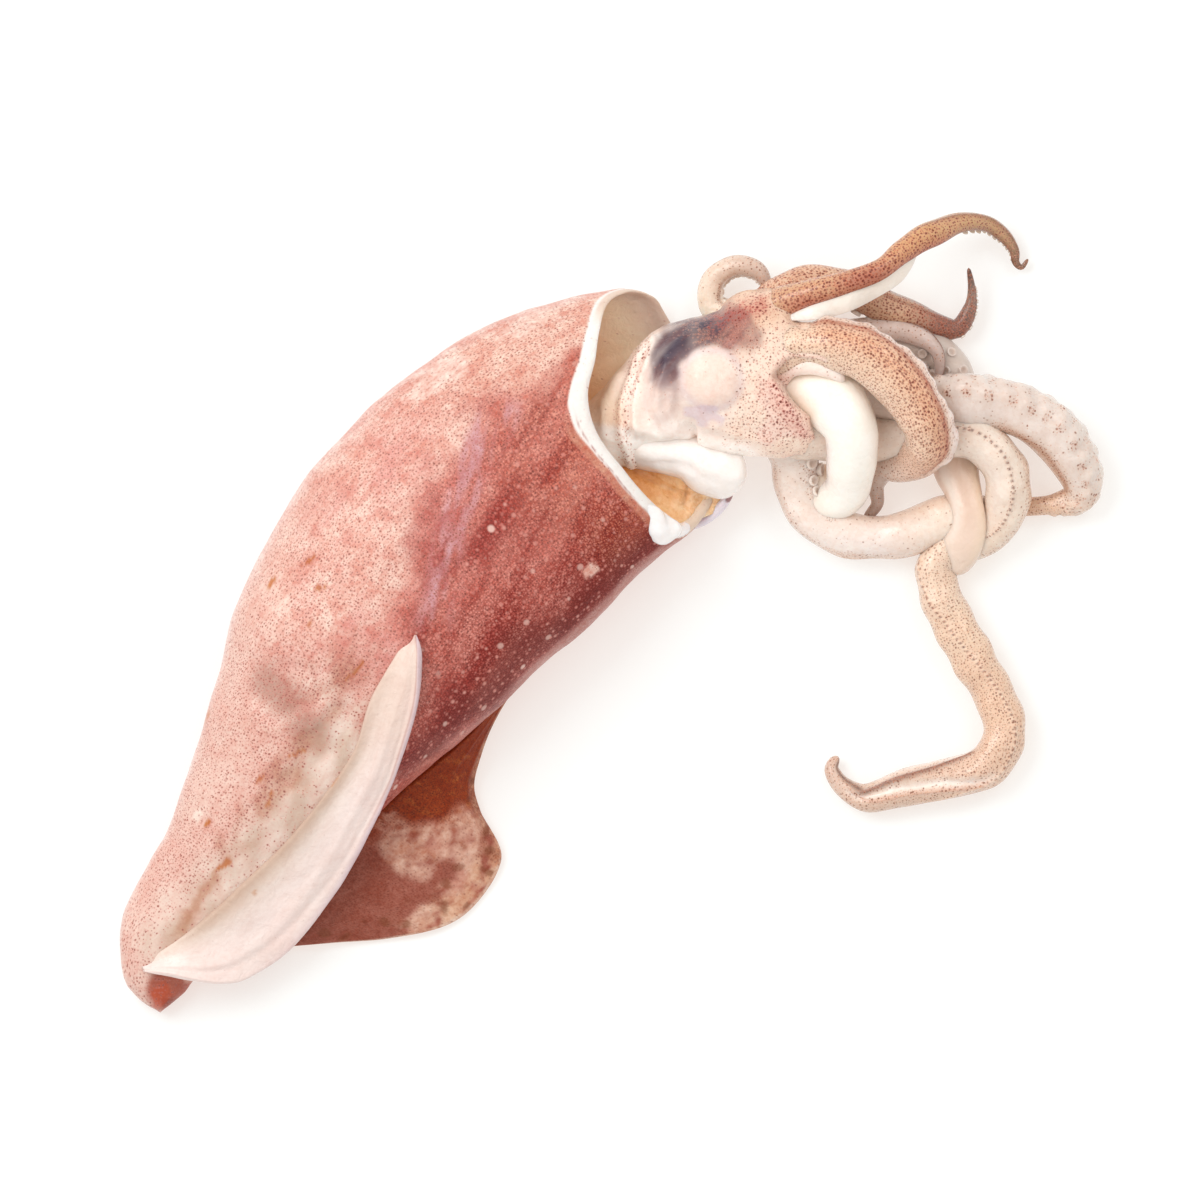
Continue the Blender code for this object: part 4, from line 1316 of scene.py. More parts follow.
@dataclass
class Limb:
    """Arm or tentacle: a tapering sweep with keels, streaks of dots and suckers."""

    name: str
    route: Rows
    tints: tuple[tuple[float, Colour], ...]
    dots: tuple[tuple[float, float], ...] = ((0.0, 0.0), (1.0, 0.0))
    reds: tuple[tuple[float, float], ...] = ((0.0, 0.0), (1.0, 0.0))
    bands: tuple[Band, ...] = ()
    cups: Cups | None = None
    buds: Cups | None = None            # soft bumps ringed with dots, as suckers seen from behind
    finish: Skin = LIMB_SKIN
    slot: Slot = Slot.LIMB
    sides: int = 56
    step: float = 0.42
    uneven: float = 0.16
    # painted glow, an emission that stands in for light through the flesh
    glow: float = 0.0
    seed: int = 1

    def __post_init__(self) -> None:
        """Draw the route."""
        self.sweep = Sweep(self.route)

    def cup_places(self, cups: Cups | None) -> list[tuple[float, float, float]]:
        """Length, angle and size of each sucker or bud of a set."""
        if cups is None:
            return []
        random = np.random.default_rng(self.seed + 100)
        whole = self.sweep.line.length
        found = []
        for number, row in enumerate(cups.rows):
            spot = cups.span[0] * whole
            first = True
            while spot < cups.span[1] * whole:
                radius = float(self.sweep.line.at(np.array([spot]))[0, 3])
                if first:
                    spot += 0.5 * number * cups.pitch * radius
                    first = False
                degrees = float(through(list(row), np.array([spot / whole]))[0])
                size = radius * cups.size * random.uniform(0.88, 1.12)
                found.append((spot, degrees + random.uniform(-4, 4), size))
                spot += cups.pitch * radius * random.uniform(0.93, 1.07)
        return found

    def build(self) -> None:
        """Model the limb and its suckers, and dress them."""
        whole = self.sweep.line.length
        piece, u, v = new_grid(self.name + "_skin", self.sides, round(whole / self.step))
        angle, length = u * 360.0 - 90.0, v * whole
        row = self.sweep.line.at(length)
        base = self.sweep.point(length, angle)
        lift = row[:, 3] * self.uneven * 0.5 * lumps(base, 6.0, self.seed)
        near_cup = np.zeros(len(base))
        for kind in (self.cups, self.buds):
            for spot, degrees, size in self.cup_places(kind):
                gap = np.hypot(length - spot, np.radians(turned(angle, degrees)) * row[:, 3])
                lift += kind.pad * size * hump(gap, 0.0, size * 1.1)
                near_cup = np.maximum(near_cup, kind.ring * hump(gap, size * 1.2, size * 0.4))
        tint = through([(part, *colour) for part, colour in self.tints], v)
        dots, red = through(list(self.dots), v), through(list(self.reds), v)
        for band in self.bands:
            share = band.share(v, angle)
            lift += band.lift * share
            if band.colour is not None:
                tint = blend(tint, share * band.strength, band.colour)
            if band.dots is not None:
                dots = dots + share * (band.dots - dots)
            if band.red is not None:
                red = red + share * (band.red - red)
        dots = np.maximum(dots, near_cup)
        ends = self.sweep.round_ends(length, max(1.0, float(row[:, 3].min()) * 1.5))
        set_places(piece, self.sweep.point(length, angle, ends, lift * ends))
        unroll(piece, np.radians(angle - 90) * row[:, 3], length)
        paint(piece, tint, dots, red, 1.0, self.glow)
        close_up(piece)
        put_on(piece, self.finish.build(), self.slot.value, self.name)
        self.build_cups()

    def build_cups(self) -> None:
        """Set a sucker on each of its pads and join them into one piece."""
        spots = self.cup_places(self.cups)
        if not spots:
            return
        cup = Sucker().model()
        shape = places_of(cup)
        pieces = []
        for spot, degrees, size in spots:
            length, angle = np.array([spot]), np.array([degrees])
            row, way, _, _ = self.sweep.frame(length)
            foot = self.sweep.point(length, angle, 1.0, self.cups.pad * size * 0.7)[0]
            out = foot - self.sweep.point(length, angle, 0.0)[0]
            out /= max(float(np.linalg.norm(out)), 1e-6)
            side = np.cross(out, way[0])
            side /= np.linalg.norm(side)
            ahead = np.cross(side, out)
            copy = cup.copy()
            copy.data = cup.data.copy()
            bpy.context.collection.objects.link(copy)
            laid = foot + (shape[:, :1] * ahead + shape[:, 1:2] * side
                           + shape[:, 2:] * out) * size
            laid[:, 2] = np.maximum(laid[:, 2], OFF_TABLE)
            set_places(copy, laid)
            pieces.append(copy)
        bpy.data.objects.remove(cup, do_unlink=True)
        cups = join(self.name + "_suckers", pieces)
        tint = np.tile(np.array(self.cups.colour), (len(cups.data.vertices), 1))
        inner = np.zeros(len(tint))
        cups.data.attributes["Hollow"].data.foreach_get("value", inner)
        lay(tint, inner * 0.5, 190, 160, 140)
        paint(cups, tint)
        cups.data.shade_smooth()
        put_on(cups, PALE_FLESH.build(), self.slot.value)


@dataclass
class Sucker:
    """One sucker of radius 1 on a short foot, its mouth facing +z."""

    sides: int = 10
    rings: int = 7
    profile: Rows = field(default_factory=lambda: [  # part from foot to mouth, radius, height
        (0.0, 0.0, -0.6), (0.16, 0.62, -0.35), (0.34, 0.86, 0.05), (0.52, 1.0, 0.42),
        (0.68, 0.84, 0.62), (0.84, 0.48, 0.40), (1.0, 0.0, 0.22)])

    def model(self) -> Piece:
        """Shape a ball into a cup."""
        pick()
        bpy.ops.mesh.primitive_uv_sphere_add(segments=self.sides, ring_count=self.rings,
                                             radius=MM, location=(0, 0, 0))
        cup = bpy.context.object
        places = places_of(cup)
        part = np.degrees(np.arccos(np.clip(-places[:, 2], -1, 1))) / 180
        radius, height = through(self.profile, part).T
        flat = places[:, :2] / np.maximum(np.linalg.norm(places[:, :2], axis=1), 1e-6)[:, None]
        set_places(cup, np.column_stack((flat * radius[:, None], height)))
        store(cup, "Hollow", ease(part, 0.7, 0.9))
        return cup


def limbs() -> list[Limb]:
    """The eight arms and two tentacles.

    Returns:
        Limbs in the order in which they lie over one another, topmost first.
    """
    return [
        Limb("arm_broad", [
            (40.1, 65.0, 22, 7.4), (50.6, 66.0, 26, 6.4), (59.6, 65.0, 28.0, 6.6),
            (67.6, 60.9, 28.5, 6.8), (74.1, 54.4, 27.5, 6.8), (78.1, 47.4, 25, 6.5),
            (79.4, 41.4, 20, 6.0), (75.6, 37.1, 12.5, 4.8), (69.1, 35.9, 7.5, 3.4),
            (66.6, 31.9, 5.0, 2.2), (66.9, 27.1, 4.5, 1.6), (64.6, 23.6, 4.5, 1.2),
            (64.1, 20.9, 4.0, 0.6)],
            tints=((0, tone(248, 224, 202)), (0.3, tone(248, 220, 194)),
                   (0.55, tone(250, 220, 194)), (0.66, tone(246, 214, 192)),
                   (0.8, tone(232, 214, 204)), (1, tone(170, 140, 126))),
            dots=((0, 1.1), (0.62, 1.1), (0.75, 0.7), (0.85, 0.2), (1, 0.3)),
            reds=((0, 0.05), (0.3, 0.2), (0.5, 0.4), (0.7, 0.2), (1, 0.0)),
            bands=(
                Band(((0.14, 118), (0.62, 112)), 26, tone(232, 170, 122), 0.5, red=0.7),
                Band(((0.12, 152), (0.30, 148), (0.45, 140), (0.66, 130)), 8,
                     tone(172, 90, 38), 0.9, 1.2, 0.9, 0.35),
                Band(((0.10, 186), (0.45, 174), (0.66, 164)), 24, tone(252, 238, 234), 0.98,
                     0.25, 0.1),
                Band(((0.0, 20), (0.55, 10)), 40, tone(250, 230, 214), 0.5)),
            buds=Cups((0.16, 0.64), (((0, 178), (1, 164)), ((0, 208), (1, 194))), 0.62, 0.26,
                      0.62, ring=0.35), seed=1),
        Limb("arm_upper", [
            (34.0, 70.0, 17, 6.2), (41.6, 76.0, 22.5, 4.8), (48.6, 79.1, 26.0, 3.5),
            (57.9, 81.6, 27.5, 2.8), (67.4, 85.4, 26.0, 2.6), (73.2, 89.8, 22.5, 3.1),
            (79.9, 94.1, 18, 3.3), (87.4, 97.0, 12.5, 2.8), (93.9, 96.9, 8, 2.2),
            (98.4, 94.0, 5, 1.8), (101.1, 90.4, 3.4, 1.4), (101.5, 87.4, 2.6, 1.0),
            (103.0, 86.1, 2.4, 0.7), (104.6, 88.2, 3.0, 0.4)],
            tints=((0, tone(228, 192, 162)), (0.2, tone(220, 178, 140)),
                   (0.42, tone(222, 176, 136)), (0.52, tone(224, 178, 130)),
                   (0.64, tone(210, 166, 114)), (0.76, tone(182, 142, 100)),
                   (0.9, tone(142, 110, 86)), (1, tone(116, 84, 70))),
            dots=((0, 1.1), (0.85, 1.1), (0.92, 0.8), (1, 0.6)),
            reds=((0, 0.4), (0.2, 0.6), (0.5, 0.75), (0.75, 0.5), (1, 0.2)),
            bands=(
                Band(((0.18, 30), (0.66, 28)), 30, tone(204, 112, 88), 0.5, red=0.95),
                Band(((0.31, 90), (0.44, 70)), 60, tone(166, 86, 86), 0.6, red=1.0),
                Band(((0.17, 50), (0.24, 50)), 50, tone(196, 96, 92), 0.5, red=0.9),
                Band(((0.18, 14), (0.66, 18)), 9, tone(136, 66, 50), 0.7, 1.2, 0.9, 0.1),
                Band(((0.66, 26), (0.97, 30)), 12, tone(104, 68, 54), 0.75, 1.2, 0.4, 0.12),
                Band(((0.30, 150), (0.60, 146)), 8, tone(130, 84, 60), 0.5, 1.2, 0.5, beat=34),
                Band(((0.60, 142), (0.97, 138)), 12, tone(108, 72, 56), 0.75, 1.0, lift=0.15),
                Band(((0.60, 88), (0.9, 86)), 30, tone(222, 188, 142), 0.6, 0.9)),
            cups=Cups((0.74, 0.95), (((0, -40), (1, -30)), ((0, -80), (1, -70))), 0.9, 0.34,
                      0.25, tone(226, 206, 188)), seed=2),
        Limb("arm_rear", [
            (38.9, 74.9, 15, 5.5), (47.6, 81.9, 16, 4.4), (57.6, 81.6, 14, 4.2),
            (66.4, 77.6, 11, 4.0), (73.9, 74.6, 8.5, 3.8), (81.4, 71.6, 6, 3.0),
            (86.9, 70.9, 5, 2.2), (89.9, 75.9, 5.5, 1.6), (90.4, 80.9, 6.5, 1.0),
            (89.6, 85.9, 7.5, 0.4)],
            tints=((0, tone(228, 192, 166)), (0.3, tone(230, 196, 166)),
                   (0.55, tone(222, 186, 154)), (0.68, tone(140, 104, 92)),
                   (0.78, tone(104, 76, 72)), (0.9, tone(140, 122, 112)),
                   (1, tone(96, 60, 50))),
            dots=((0, 1.1), (0.7, 1.1), (0.85, 0.9), (1, 0.5)),
            reds=((0, 0.7), (0.3, 0.6), (0.5, 0.6), (0.7, 0.8), (1, 0.4)),
            bands=(
                Band(((0.30, 168), (0.75, 160)), 18, tone(186, 170, 166), 0.85, 0.1),
                Band(((0.30, 128), (0.75, 128)), 7, tone(130, 80, 70), 0.6, 1.0),
                Band(((0.28, 18), (0.74, 20)), 10, tone(158, 96, 66), 0.5, 1.1, 0.4, 0.2),
                Band(((0.24, -8), (0.8, -8)), 20, tone(238, 220, 206), 0.95, 0.3)),
            cups=Cups((0.26, 0.93), (((0, -10), (1, 5)), ((0, -48), (1, -40))), 0.85, 0.36,
                      0.5, tone(240, 224, 212)), seed=3),
        Limb("arm_curled", [
            (41.4, 71.6, 9, 4.5), (32.6, 72.4, 6, 3.8), (25.6, 76.4, 5.5, 3.2),
            (26.1, 82.9, 7, 2.8), (31.1, 86.4, 9, 2.6), (36.6, 85.4, 10, 2.2),
            (38.9, 81.9, 10, 1.5), (37.6, 79.6, 9, 0.9)],
            tints=((0, (0.96, 0.86, 0.74)), (0.4, (0.96, 0.85, 0.72)),
                   (0.6, tone(242, 222, 206)), (0.8, tone(222, 200, 186)),
                   (1, tone(196, 172, 160))),
            dots=((0, 0.03), (0.5, 0.05), (0.7, 0.4), (1, 0.6)),
            reds=((0, 0.0), (1, 0.1)),
            bands=(
                Band(((0.25, 60), (0.6, 40)), 10, tone(150, 110, 92), 0.5, 1.0, lift=0.2),
                Band(((0.5, 180), (0.95, 180)), 16, tone(176, 140, 122), 0.5, 0.9)),
            cups=Cups((0.35, 0.95), (((0, -40), (1, -30)), ((0, -75), (1, -65))), 0.9, 0.34,
                      0.3), seed=4),
        Limb("arm_lilac", [
            (41.4, 67.9, 13, 4.0), (55.1, 68.9, 11, 3.8), (68.9, 70.4, 10, 3.2),
            (77.1, 68.6, 10.5, 2.4), (81.4, 65.4, 11.5, 1.9), (82.4, 60.9, 11.5, 1.4),
            (81.4, 56.9, 11, 0.6)],
            tints=((0, tone(240, 222, 210)), (0.6, tone(232, 212, 204)),
                   (1, tone(190, 170, 164))),
            dots=((0, 0.3), (1, 0.3)),
            bands=(
                Band(((0.5, 160), (0.98, 160)), 14, tone(104, 64, 56), 0.8, 1.0),
                Band(((0.5, 20), (0.98, 20)), 10, tone(120, 96, 92), 0.5)),
            seed=5),
        Limb("tentacle_pale", [
            (43.0, 57.4, 16, 4.6), (48.6, 55.6, 19, 6.6), (55.4, 52.2, 22, 7.8),
            (60.0, 46.0, 23, 7.0), (60.3, 38.0, 19, 6.0), (59.0, 30.4, 11.5, 5.5),
            (54.6, 27.4, 7.0, 5.0), (52.4, 31.9, 5.6, 4.0), (54.1, 36.9, 5, 3.0)],
            tints=((0, tone(252, 244, 232)), (0.4, tone(255, 252, 246)),
                   (0.75, tone(255, 252, 246)), (1, tone(244, 224, 204))),
            bands=(
                # Painted lilac shade on the inner side of the curl.
                Band(((0.40, 0), (0.78, -10)), 30, tone(236, 222, 230), 0.6),
                Band(((0.05, 60), (0.25, 40)), 20, tone(246, 232, 214), 0.6, lift=-0.5)),
            # glow is a painted glow, standing in for light through the pale flesh.
            finish=PALE_FLESH, slot=Slot.PALE, uneven=0.10, glow=0.35, seed=6),
        Limb("arm_right", [
            (42.6, 56.6, 11, 5.5), (60.1, 54.1, 11, 5.5), (76.4, 52.4, 12, 5.5),
            (88.9, 52.1, 13.5, 6.2), (101.6, 49.6, 12, 6.3), (111.8, 43.2, 9.5, 6.2),
            (117.0, 34.6, 7, 5.3), (116.6, 28.9, 5.2, 4.0), (111.4, 26.9, 4, 2.8),
            (104.9, 26.1, 3.2, 2.1), (100.2, 25.3, 2.4, 1.3)],
            tints=((0, tone(246, 230, 218)), (0.5, tone(240, 226, 218)),
                   (0.8, tone(242, 228, 218)), (0.9, tone(240, 210, 184)),
                   (1, tone(220, 178, 148))),
            dots=((0, 0.0), (0.8, 0.0), (0.86, 0.7), (1, 1.0)),
            reds=((0, 0.0), (0.85, 0.1), (1, 0.3)),
            bands=(
                Band(((0.50, 20), (0.92, 30)), 30, tone(222, 186, 158), 0.6, 1.1, 0.1),
                Band(((0.56, 38), (0.92, 40)), 10, tone(178, 132, 104), 0.6, 1.2, 0.3),
                Band(((0.35, 76), (0.85, 78)), 18, tone(244, 232, 226), 0.6),
                Band(((0.30, 112), (0.90, 104)), 10, tone(206, 168, 148), 0.25, 1.2, 0.3,
                     beat=23),
                Band(((0.36, 150), (0.90, 146)), 9, tone(206, 168, 148), 0.2, 0.8, 0.2,
                     beat=27),
                Band(((0.40, 132), (0.85, 128)), 30, tone(236, 222, 214), 0.5)),
            buds=Cups((0.36, 0.90), (((0, 124), (1, 118)), ((0, 156), (1, 152)),
                                     ((0, 188), (1, 184))), 0.74, 0.30, 0.70, ring=0.1),
            seed=7),
        Limb("arm_smooth", [
            (42.6, 62.9, 6, 5.0, 5.0), (60.1, 65.4, 5, 5.0, 5.0), (76.4, 66.4, 5, 4.8, 4.8),
            (85.1, 61.4, 5, 4.6, 4.6), (87.1, 52.9, 4.6, 4.6, 4.6), (85.4, 43.9, 5.2, 5.6, 4.8),
            (86.6, 36.4, 6.5, 5.8, 4.6), (88.6, 29.4, 9.0, 4.4, 3.9), (89.6, 22.9, 9.8, 4.2, 3.8),
            (88.6, 17.6, 9.2, 5.0, 3.6), (86.0, 12.9, 6.6, 4.6, 2.8), (83.4, 10.0, 4.6, 3.2, 1.8)],
            tints=((0, tone(226, 212, 202)), (0.3, tone(214, 200, 192)),
                   (0.50, tone(222, 206, 196)), (0.6, tone(230, 202, 182)),
                   (0.8, tone(234, 206, 188)), (1, tone(248, 230, 216))),
            bands=(
                Band(((0.58, 150), (0.92, 140)), 24, tone(246, 222, 198), 0.7, lift=0.5),
                Band(((0.62, 178), (0.90, 172)), 18, tone(240, 212, 186), 0.6),
                Band(((0.60, 60), (0.9, 40)), 20, tone(255, 248, 240), 0.6)),
            cups=Cups((0.34, 0.52), (((0, 120), (1, 110)), ((0, 78), (1, 70)),
                                     ((0, 36), (1, 30))), 0.9, 0.30, 0.3,
                      tone(222, 206, 198)),
            finish=PALE_FLESH, slot=Slot.PALE, uneven=0.12, seed=8),
        Limb("tentacle_long", [
            (40.1, 46.6, 20, 7.0), (51.4, 44.1, 15, 6.4), (65.1, 42.9, 10.5, 5.6),
            (80.1, 43.9, 11.5, 5.5), (90.6, 43.4, 13.5, 5.5), (97.6, 37.4, 12.5, 5.6),
            (99.6, 27.9, 9.5, 5.4), (95.6, 19.9, 6, 5.0), (86.4, 16.1, 5.2, 5.0),
            (81.1, 11.4, 5.2, 5.0), (83.1, 2.9, 5.2, 5.3), (89.6, -9.6, 5.2, 5.4),
            (96.6, -22.1, 5.2, 5.4), (98.4, -31.6, 5.2, 5.4), (93.6, -39.1, 5.0, 5.2),
            (82.6, -42.1, 4.8, 5.0), (72.6, -44.4, 4.4, 4.4), (64.1, -46.4, 3.8, 3.4),
            (58.4, -43.9, 3.4, 2.6), (55.6, -39.4, 3.0, 2.0), (57.1, -36.1, 2.6, 1.1)],
            tints=((0, tone(248, 232, 218)), (0.25, tone(250, 236, 224)),
                   (0.42, tone(252, 236, 220)), (0.5, tone(248, 226, 206)),
                   (0.58, tone(246, 220, 196)), (0.7, tone(244, 212, 186)),
                   (0.8, tone(240, 212, 192)), (0.92, tone(230, 204, 186)),
                   (1, tone(220, 194, 180))),
            dots=((0, 0.05), (0.25, 0.04), (0.42, 0.1), (0.48, 0.6), (0.6, 0.9), (0.75, 1.0),
                  (0.9, 0.8), (1, 0.6)),
            reds=((0, 0.0), (0.45, 0.0), (0.55, 0.05), (0.8, 0.05), (1, 0.0)),
            bands=(
                Band(((0.20, 112), (0.42, 92)), 6, tone(232, 200, 180), 0.4, 0.6, lift=0.3),
                Band(((0.20, 112), (0.42, 92)), 3.4, tone(110, 66, 56), 0.95, 0.8, beat=150),
                Band(((0.27, 168), (0.42, 160)), 22, tone(238, 206, 180), 0.5, 0.9),
                Band(((0.28, 60), (0.42, 50)), 28, tone(248, 234, 224), 0.6, 0.0),
                Band(((0.49, 36), (0.56, 68), (0.64, 96), (0.70, 114), (0.74, 124),
                      (0.78, 140), (0.84, 160)), 7, tone(250, 222, 200), 0.7, 0.3, 0.1, 0.35),
                Band(((0.49, 36), (0.56, 68), (0.64, 96), (0.70, 114), (0.74, 124),
                      (0.78, 140)), 3.4, tone(110, 62, 52), 0.95, 1.0, 0.3, beat=150),
                Band(((0.50, 172), (0.74, 180)), 24, tone(250, 224, 204), 0.6, 0.9),
                Band(((0.78, 4), (0.90, 24)), 24, tone(253, 238, 228), 0.9, 0.1, fade=0.02),
                Band(((0.775, 126), (0.80, 116), (0.83, 98), (0.885, 84), (0.915, 84),
                      (0.94, 96)), 17, (0.98, 0.90, 0.84), 0.95, 0.0, lift=-1.3, fade=0.02),
                Band(((0.77, 24), (0.80, 32), (0.83, 50), (0.885, 58), (0.915, 60),
                      (0.935, 74)), 8, tone(118, 74, 60), 0.9, 1.2, 0.4, 0.6, fade=0.015),
                Band(((0.78, 140), (0.83, 122), (0.885, 108), (0.92, 106), (0.95, 70)), 6,
                     tone(214, 168, 146), 0.6, 1.2, 0.2, 0.4, fade=0.02),
                Band(((0.925, 64), (0.95, 44), (1.0, 44)), 16, tone(108, 72, 62), 0.85, 0.8,
                     fade=0.015)),
            sides=96, step=0.3, seed=9),
        Limb("arm_ring", [
            (41.4, 46.6, 13, 6.0), (45.6, 39.1, 8, 6.0), (47.1, 30.4, 6, 5.6),
            (52.6, 21.9, 5.8, 5.5), (62.6, 18.4, 5.8, 5.5), (73.9, 19.4, 5.8, 5.8),
            (83.9, 23.1, 5.9, 5.8), (91.2, 25.8, 4.8, 4.4), (95.4, 27.2, 3.6, 2.8)],
            tints=((0, tone(250, 236, 226)), (0.3, tone(252, 240, 232)),
                   (0.6, tone(254, 242, 236)), (0.8, tone(252, 236, 222)),
                   (1, tone(248, 226, 206))),
            dots=((0, 0.04), (0.9, 0.04), (1, 0.3)),
            bands=(
                Band(((0.10, 30), (0.62, 28)), 10, tone(236, 208, 188), 0.4, 0.8),
                Band(((0.45, 2), (0.92, 8)), 16, tone(238, 188, 150), 0.7, 1.15, 0.15),
                Band(((0.25, 150), (0.85, 140)), 26, tone(238, 208, 186), 0.5, 0.1, lift=0.3)),
            cups=Cups((0.08, 0.44), (((0, 128), (1, 140)), ((0, 160), (1, 172))), 0.85, 0.30,
                      0.35, tone(246, 232, 222)), seed=10),
    ]


# -------------------- head
@dataclass
class Head:
    """Head and neck, blended with the roots of the arms, and the eye under its skin."""

    rows: Rows = field(default_factory=lambda: [  # x, y, z, half width, half height
        (-10, 37.5, 14.5, 7, 7), (-5.4, 41.0, 15, 8.5, 9), (2.6, 46.6, 16, 9.8, 12),
        (11.2, 52.6, 16.8, 12.6, 14.5), (19.2, 57.6, 17.5, 14.8, 15.5),
        (29.8, 57.7, 17.8, 18.6, 15.5), (39, 59.4, 18, 21.4, 14.8), (47, 60.5, 18, 19.5, 13),
        (52, 61.5, 18, 9, 7)])
    roots: tuple[tuple[str, float, float], ...] = (  # limb, length blended in, swelling
        ("arm_broad", 19.0, 1.06), ("arm_upper", 18.0, 1.10), ("arm_rear", 14.0, 1.04),
        ("arm_curled", 9.0, 1.04), ("arm_ring", 8.0, 1.04), ("tentacle_long", 12.0, 1.04),
        ("funnel", 15.0, 1.06))
    eye: tuple[float, float] = (25.4, 57.8)
    grain: float = 0.52
    folds: tuple[tuple[Path, float, float], ...] = (   # path, height, width
        ([(8.8, 66.4), (7.2, 63.0), (4.8, 55.9), (2.9, 49.8), (3.6, 42.4), (5.4, 36.3)], 1.1, 1.3),
        ([(10.9, 68.1), (9.1, 62.0), (6.6, 55.9), (6.0, 49.8), (6.6, 44.3)], 1.0, 1.1),
        ([(9.6, 66.0), (7.2, 59.0), (4.6, 52.0), (4.8, 44.0)], -0.9, 0.9),
        ([(14.4, 62.2), (12.1, 55.9), (11.6, 50.6), (13.4, 46.4)], 0.9, 1.3),
        ([(11.0, 60.0), (9.2, 54.0), (9.0, 48.0)], -0.8, 1.3),
        ([(15.6, 54.0), (14.6, 50.0), (16.4, 46.6)], 0.6, 0.9),
        ([(2.0, 58.6), (-1.2, 52.0), (-1.6, 44.0)], 0.7, 1.3),
        ([(4.6, 60.4), (1.2, 53.0), (0.8, 44.0)], -0.7, 1.0),
        ([(5.6, 46.6), (12.1, 44.0), (17.0, 45.0), (21.9, 42.8), (30.5, 40.6)], 0.9, 1.3),
        ([(6.6, 43.0), (12.1, 41.2), (17.0, 42.0), (21.9, 40.0), (30.5, 37.8)], -0.5, 1.3),
        ([(25.0, 45.8), (33.0, 43.4), (40.0, 42.6)], 0.4, 1.2))
    hollow: tuple[tuple[float, float, float, float, float], ...] = (  # x, y, half sizes, turn
        (50.2, 55.4, 8.6, 5.2, -38), (47.4, 59.6, 6.0, 2.8, 10), (56.0, 47.0, 6.0, 5.0, -60))
    hood: Path = field(default_factory=lambda: [
        (53.5, 62.6), (48.0, 62.2), (43.6, 61.2), (42.2, 58.2), (42.8, 54.2), (45.2, 50.0),
        (48.8, 46.4), (52.2, 42.6), (55.6, 39.0)])
    arch: Rows = field(default_factory=lambda: [
        (42.4, 53.0, 20.0, 1.4), (42.6, 57.2, 23.4, 2.0), (45.0, 60.6, 26.0, 2.4),
        (50.0, 61.4, 28.0, 2.4), (55.0, 60.0, 28.4, 2.0), (58.6, 57.4, 27.6, 1.0)])

    def build(self, routes: dict[str, Rows]) -> None:
        """Model the head, paint it and dress it.

        Args:
            routes: Route of each limb by its name.
        """
        parts = [Sweep(self.rows).blank("head_core", 48, 1.4, 5.0)]
        for name, reach, swell in self.roots:
            root = Sweep(routes[name], 0.0, reach)
            parts.append(root.blank("root_" + name, 32, 1.2, 3.0, swell, 0.15))
        head = join("head_skin", parts)
        apply(head, "REMESH", mode="VOXEL", voxel_size=self.grain * MM)
        apply(head, "SMOOTH", factor=0.5, iterations=9)
        self.shape(head)
        close_up(head)
        self.dress(head)

    def build_fold(self) -> None:
        """Rounded fold of skin that arches over the root of the pale tentacle."""
        fold = Sweep(self.arch).blank("hood_fold", 40, 0.5, 2.0)
        places = places_of(fold)
        pink = ease(places[:, 0] + 1.0 * lumps(places, 3.0, 85), 47, 42)
        tint = all_over(places, 254, 240, 232)
        lay(tint, pink * 0.6, 246, 206, 190)
        # The last value is a painted glow, standing in for light through the fold.
        paint(fold, tint, 0.15 + 0.85 * pink, 0.5 * pink, 1.0, 0.2)
        close_up(fold)
        put_on(fold, HEAD_SKIN.build(), Slot.HEAD.value)

    def shape(self, head: Piece) -> None:
        """Press the folds, the eye and the hood's edge into the blended form."""
        places, normals = places_of(head), normals_of(head)
        upward = ease(normals[:, 2], -0.1, 0.35)
        lift = 0.25 * lumps(places, 7.0, 71) + 0.10 * lumps(places, 2.6, 72)
        for path, height, width in self.folds:
            lift += height * hump(off_path(places, path), 0.0, width) * upward
        gap = np.hypot(places[:, 0] - self.eye[0], places[:, 1] - self.eye[1])
        lift += upward * (1.7 * np.exp(-(gap / 6.4) ** 4) - 0.3 * hump(gap, 8.8, 1.8))
        lift += upward * 0.15 * lumps(places, 2.2, 73) * hump(gap, 0.0, 5.0)
        rim = off_path(places, self.hood)
        lift += upward * 0.5 * hump(rim, 0.0, 1.3)
        places = places + normals * lift[:, None]
        places[:, 2] -= 11.0 * self.inside_hood(places) * ease(places[:, 2], 14, 22)
        places[:, 2] = np.maximum(places[:, 2], OFF_TABLE)
        set_places(head, places)

    def inside_hood(self, places: Array) -> Array:
        """How far each place lies in the hollow from which the pale tentacle comes."""
        inside = np.zeros(len(places))
        for x, y, length, width, way in self.hollow:
            inside = np.maximum(inside, patch(places, (x, y), (length, width), way, 0.0))
        return inside

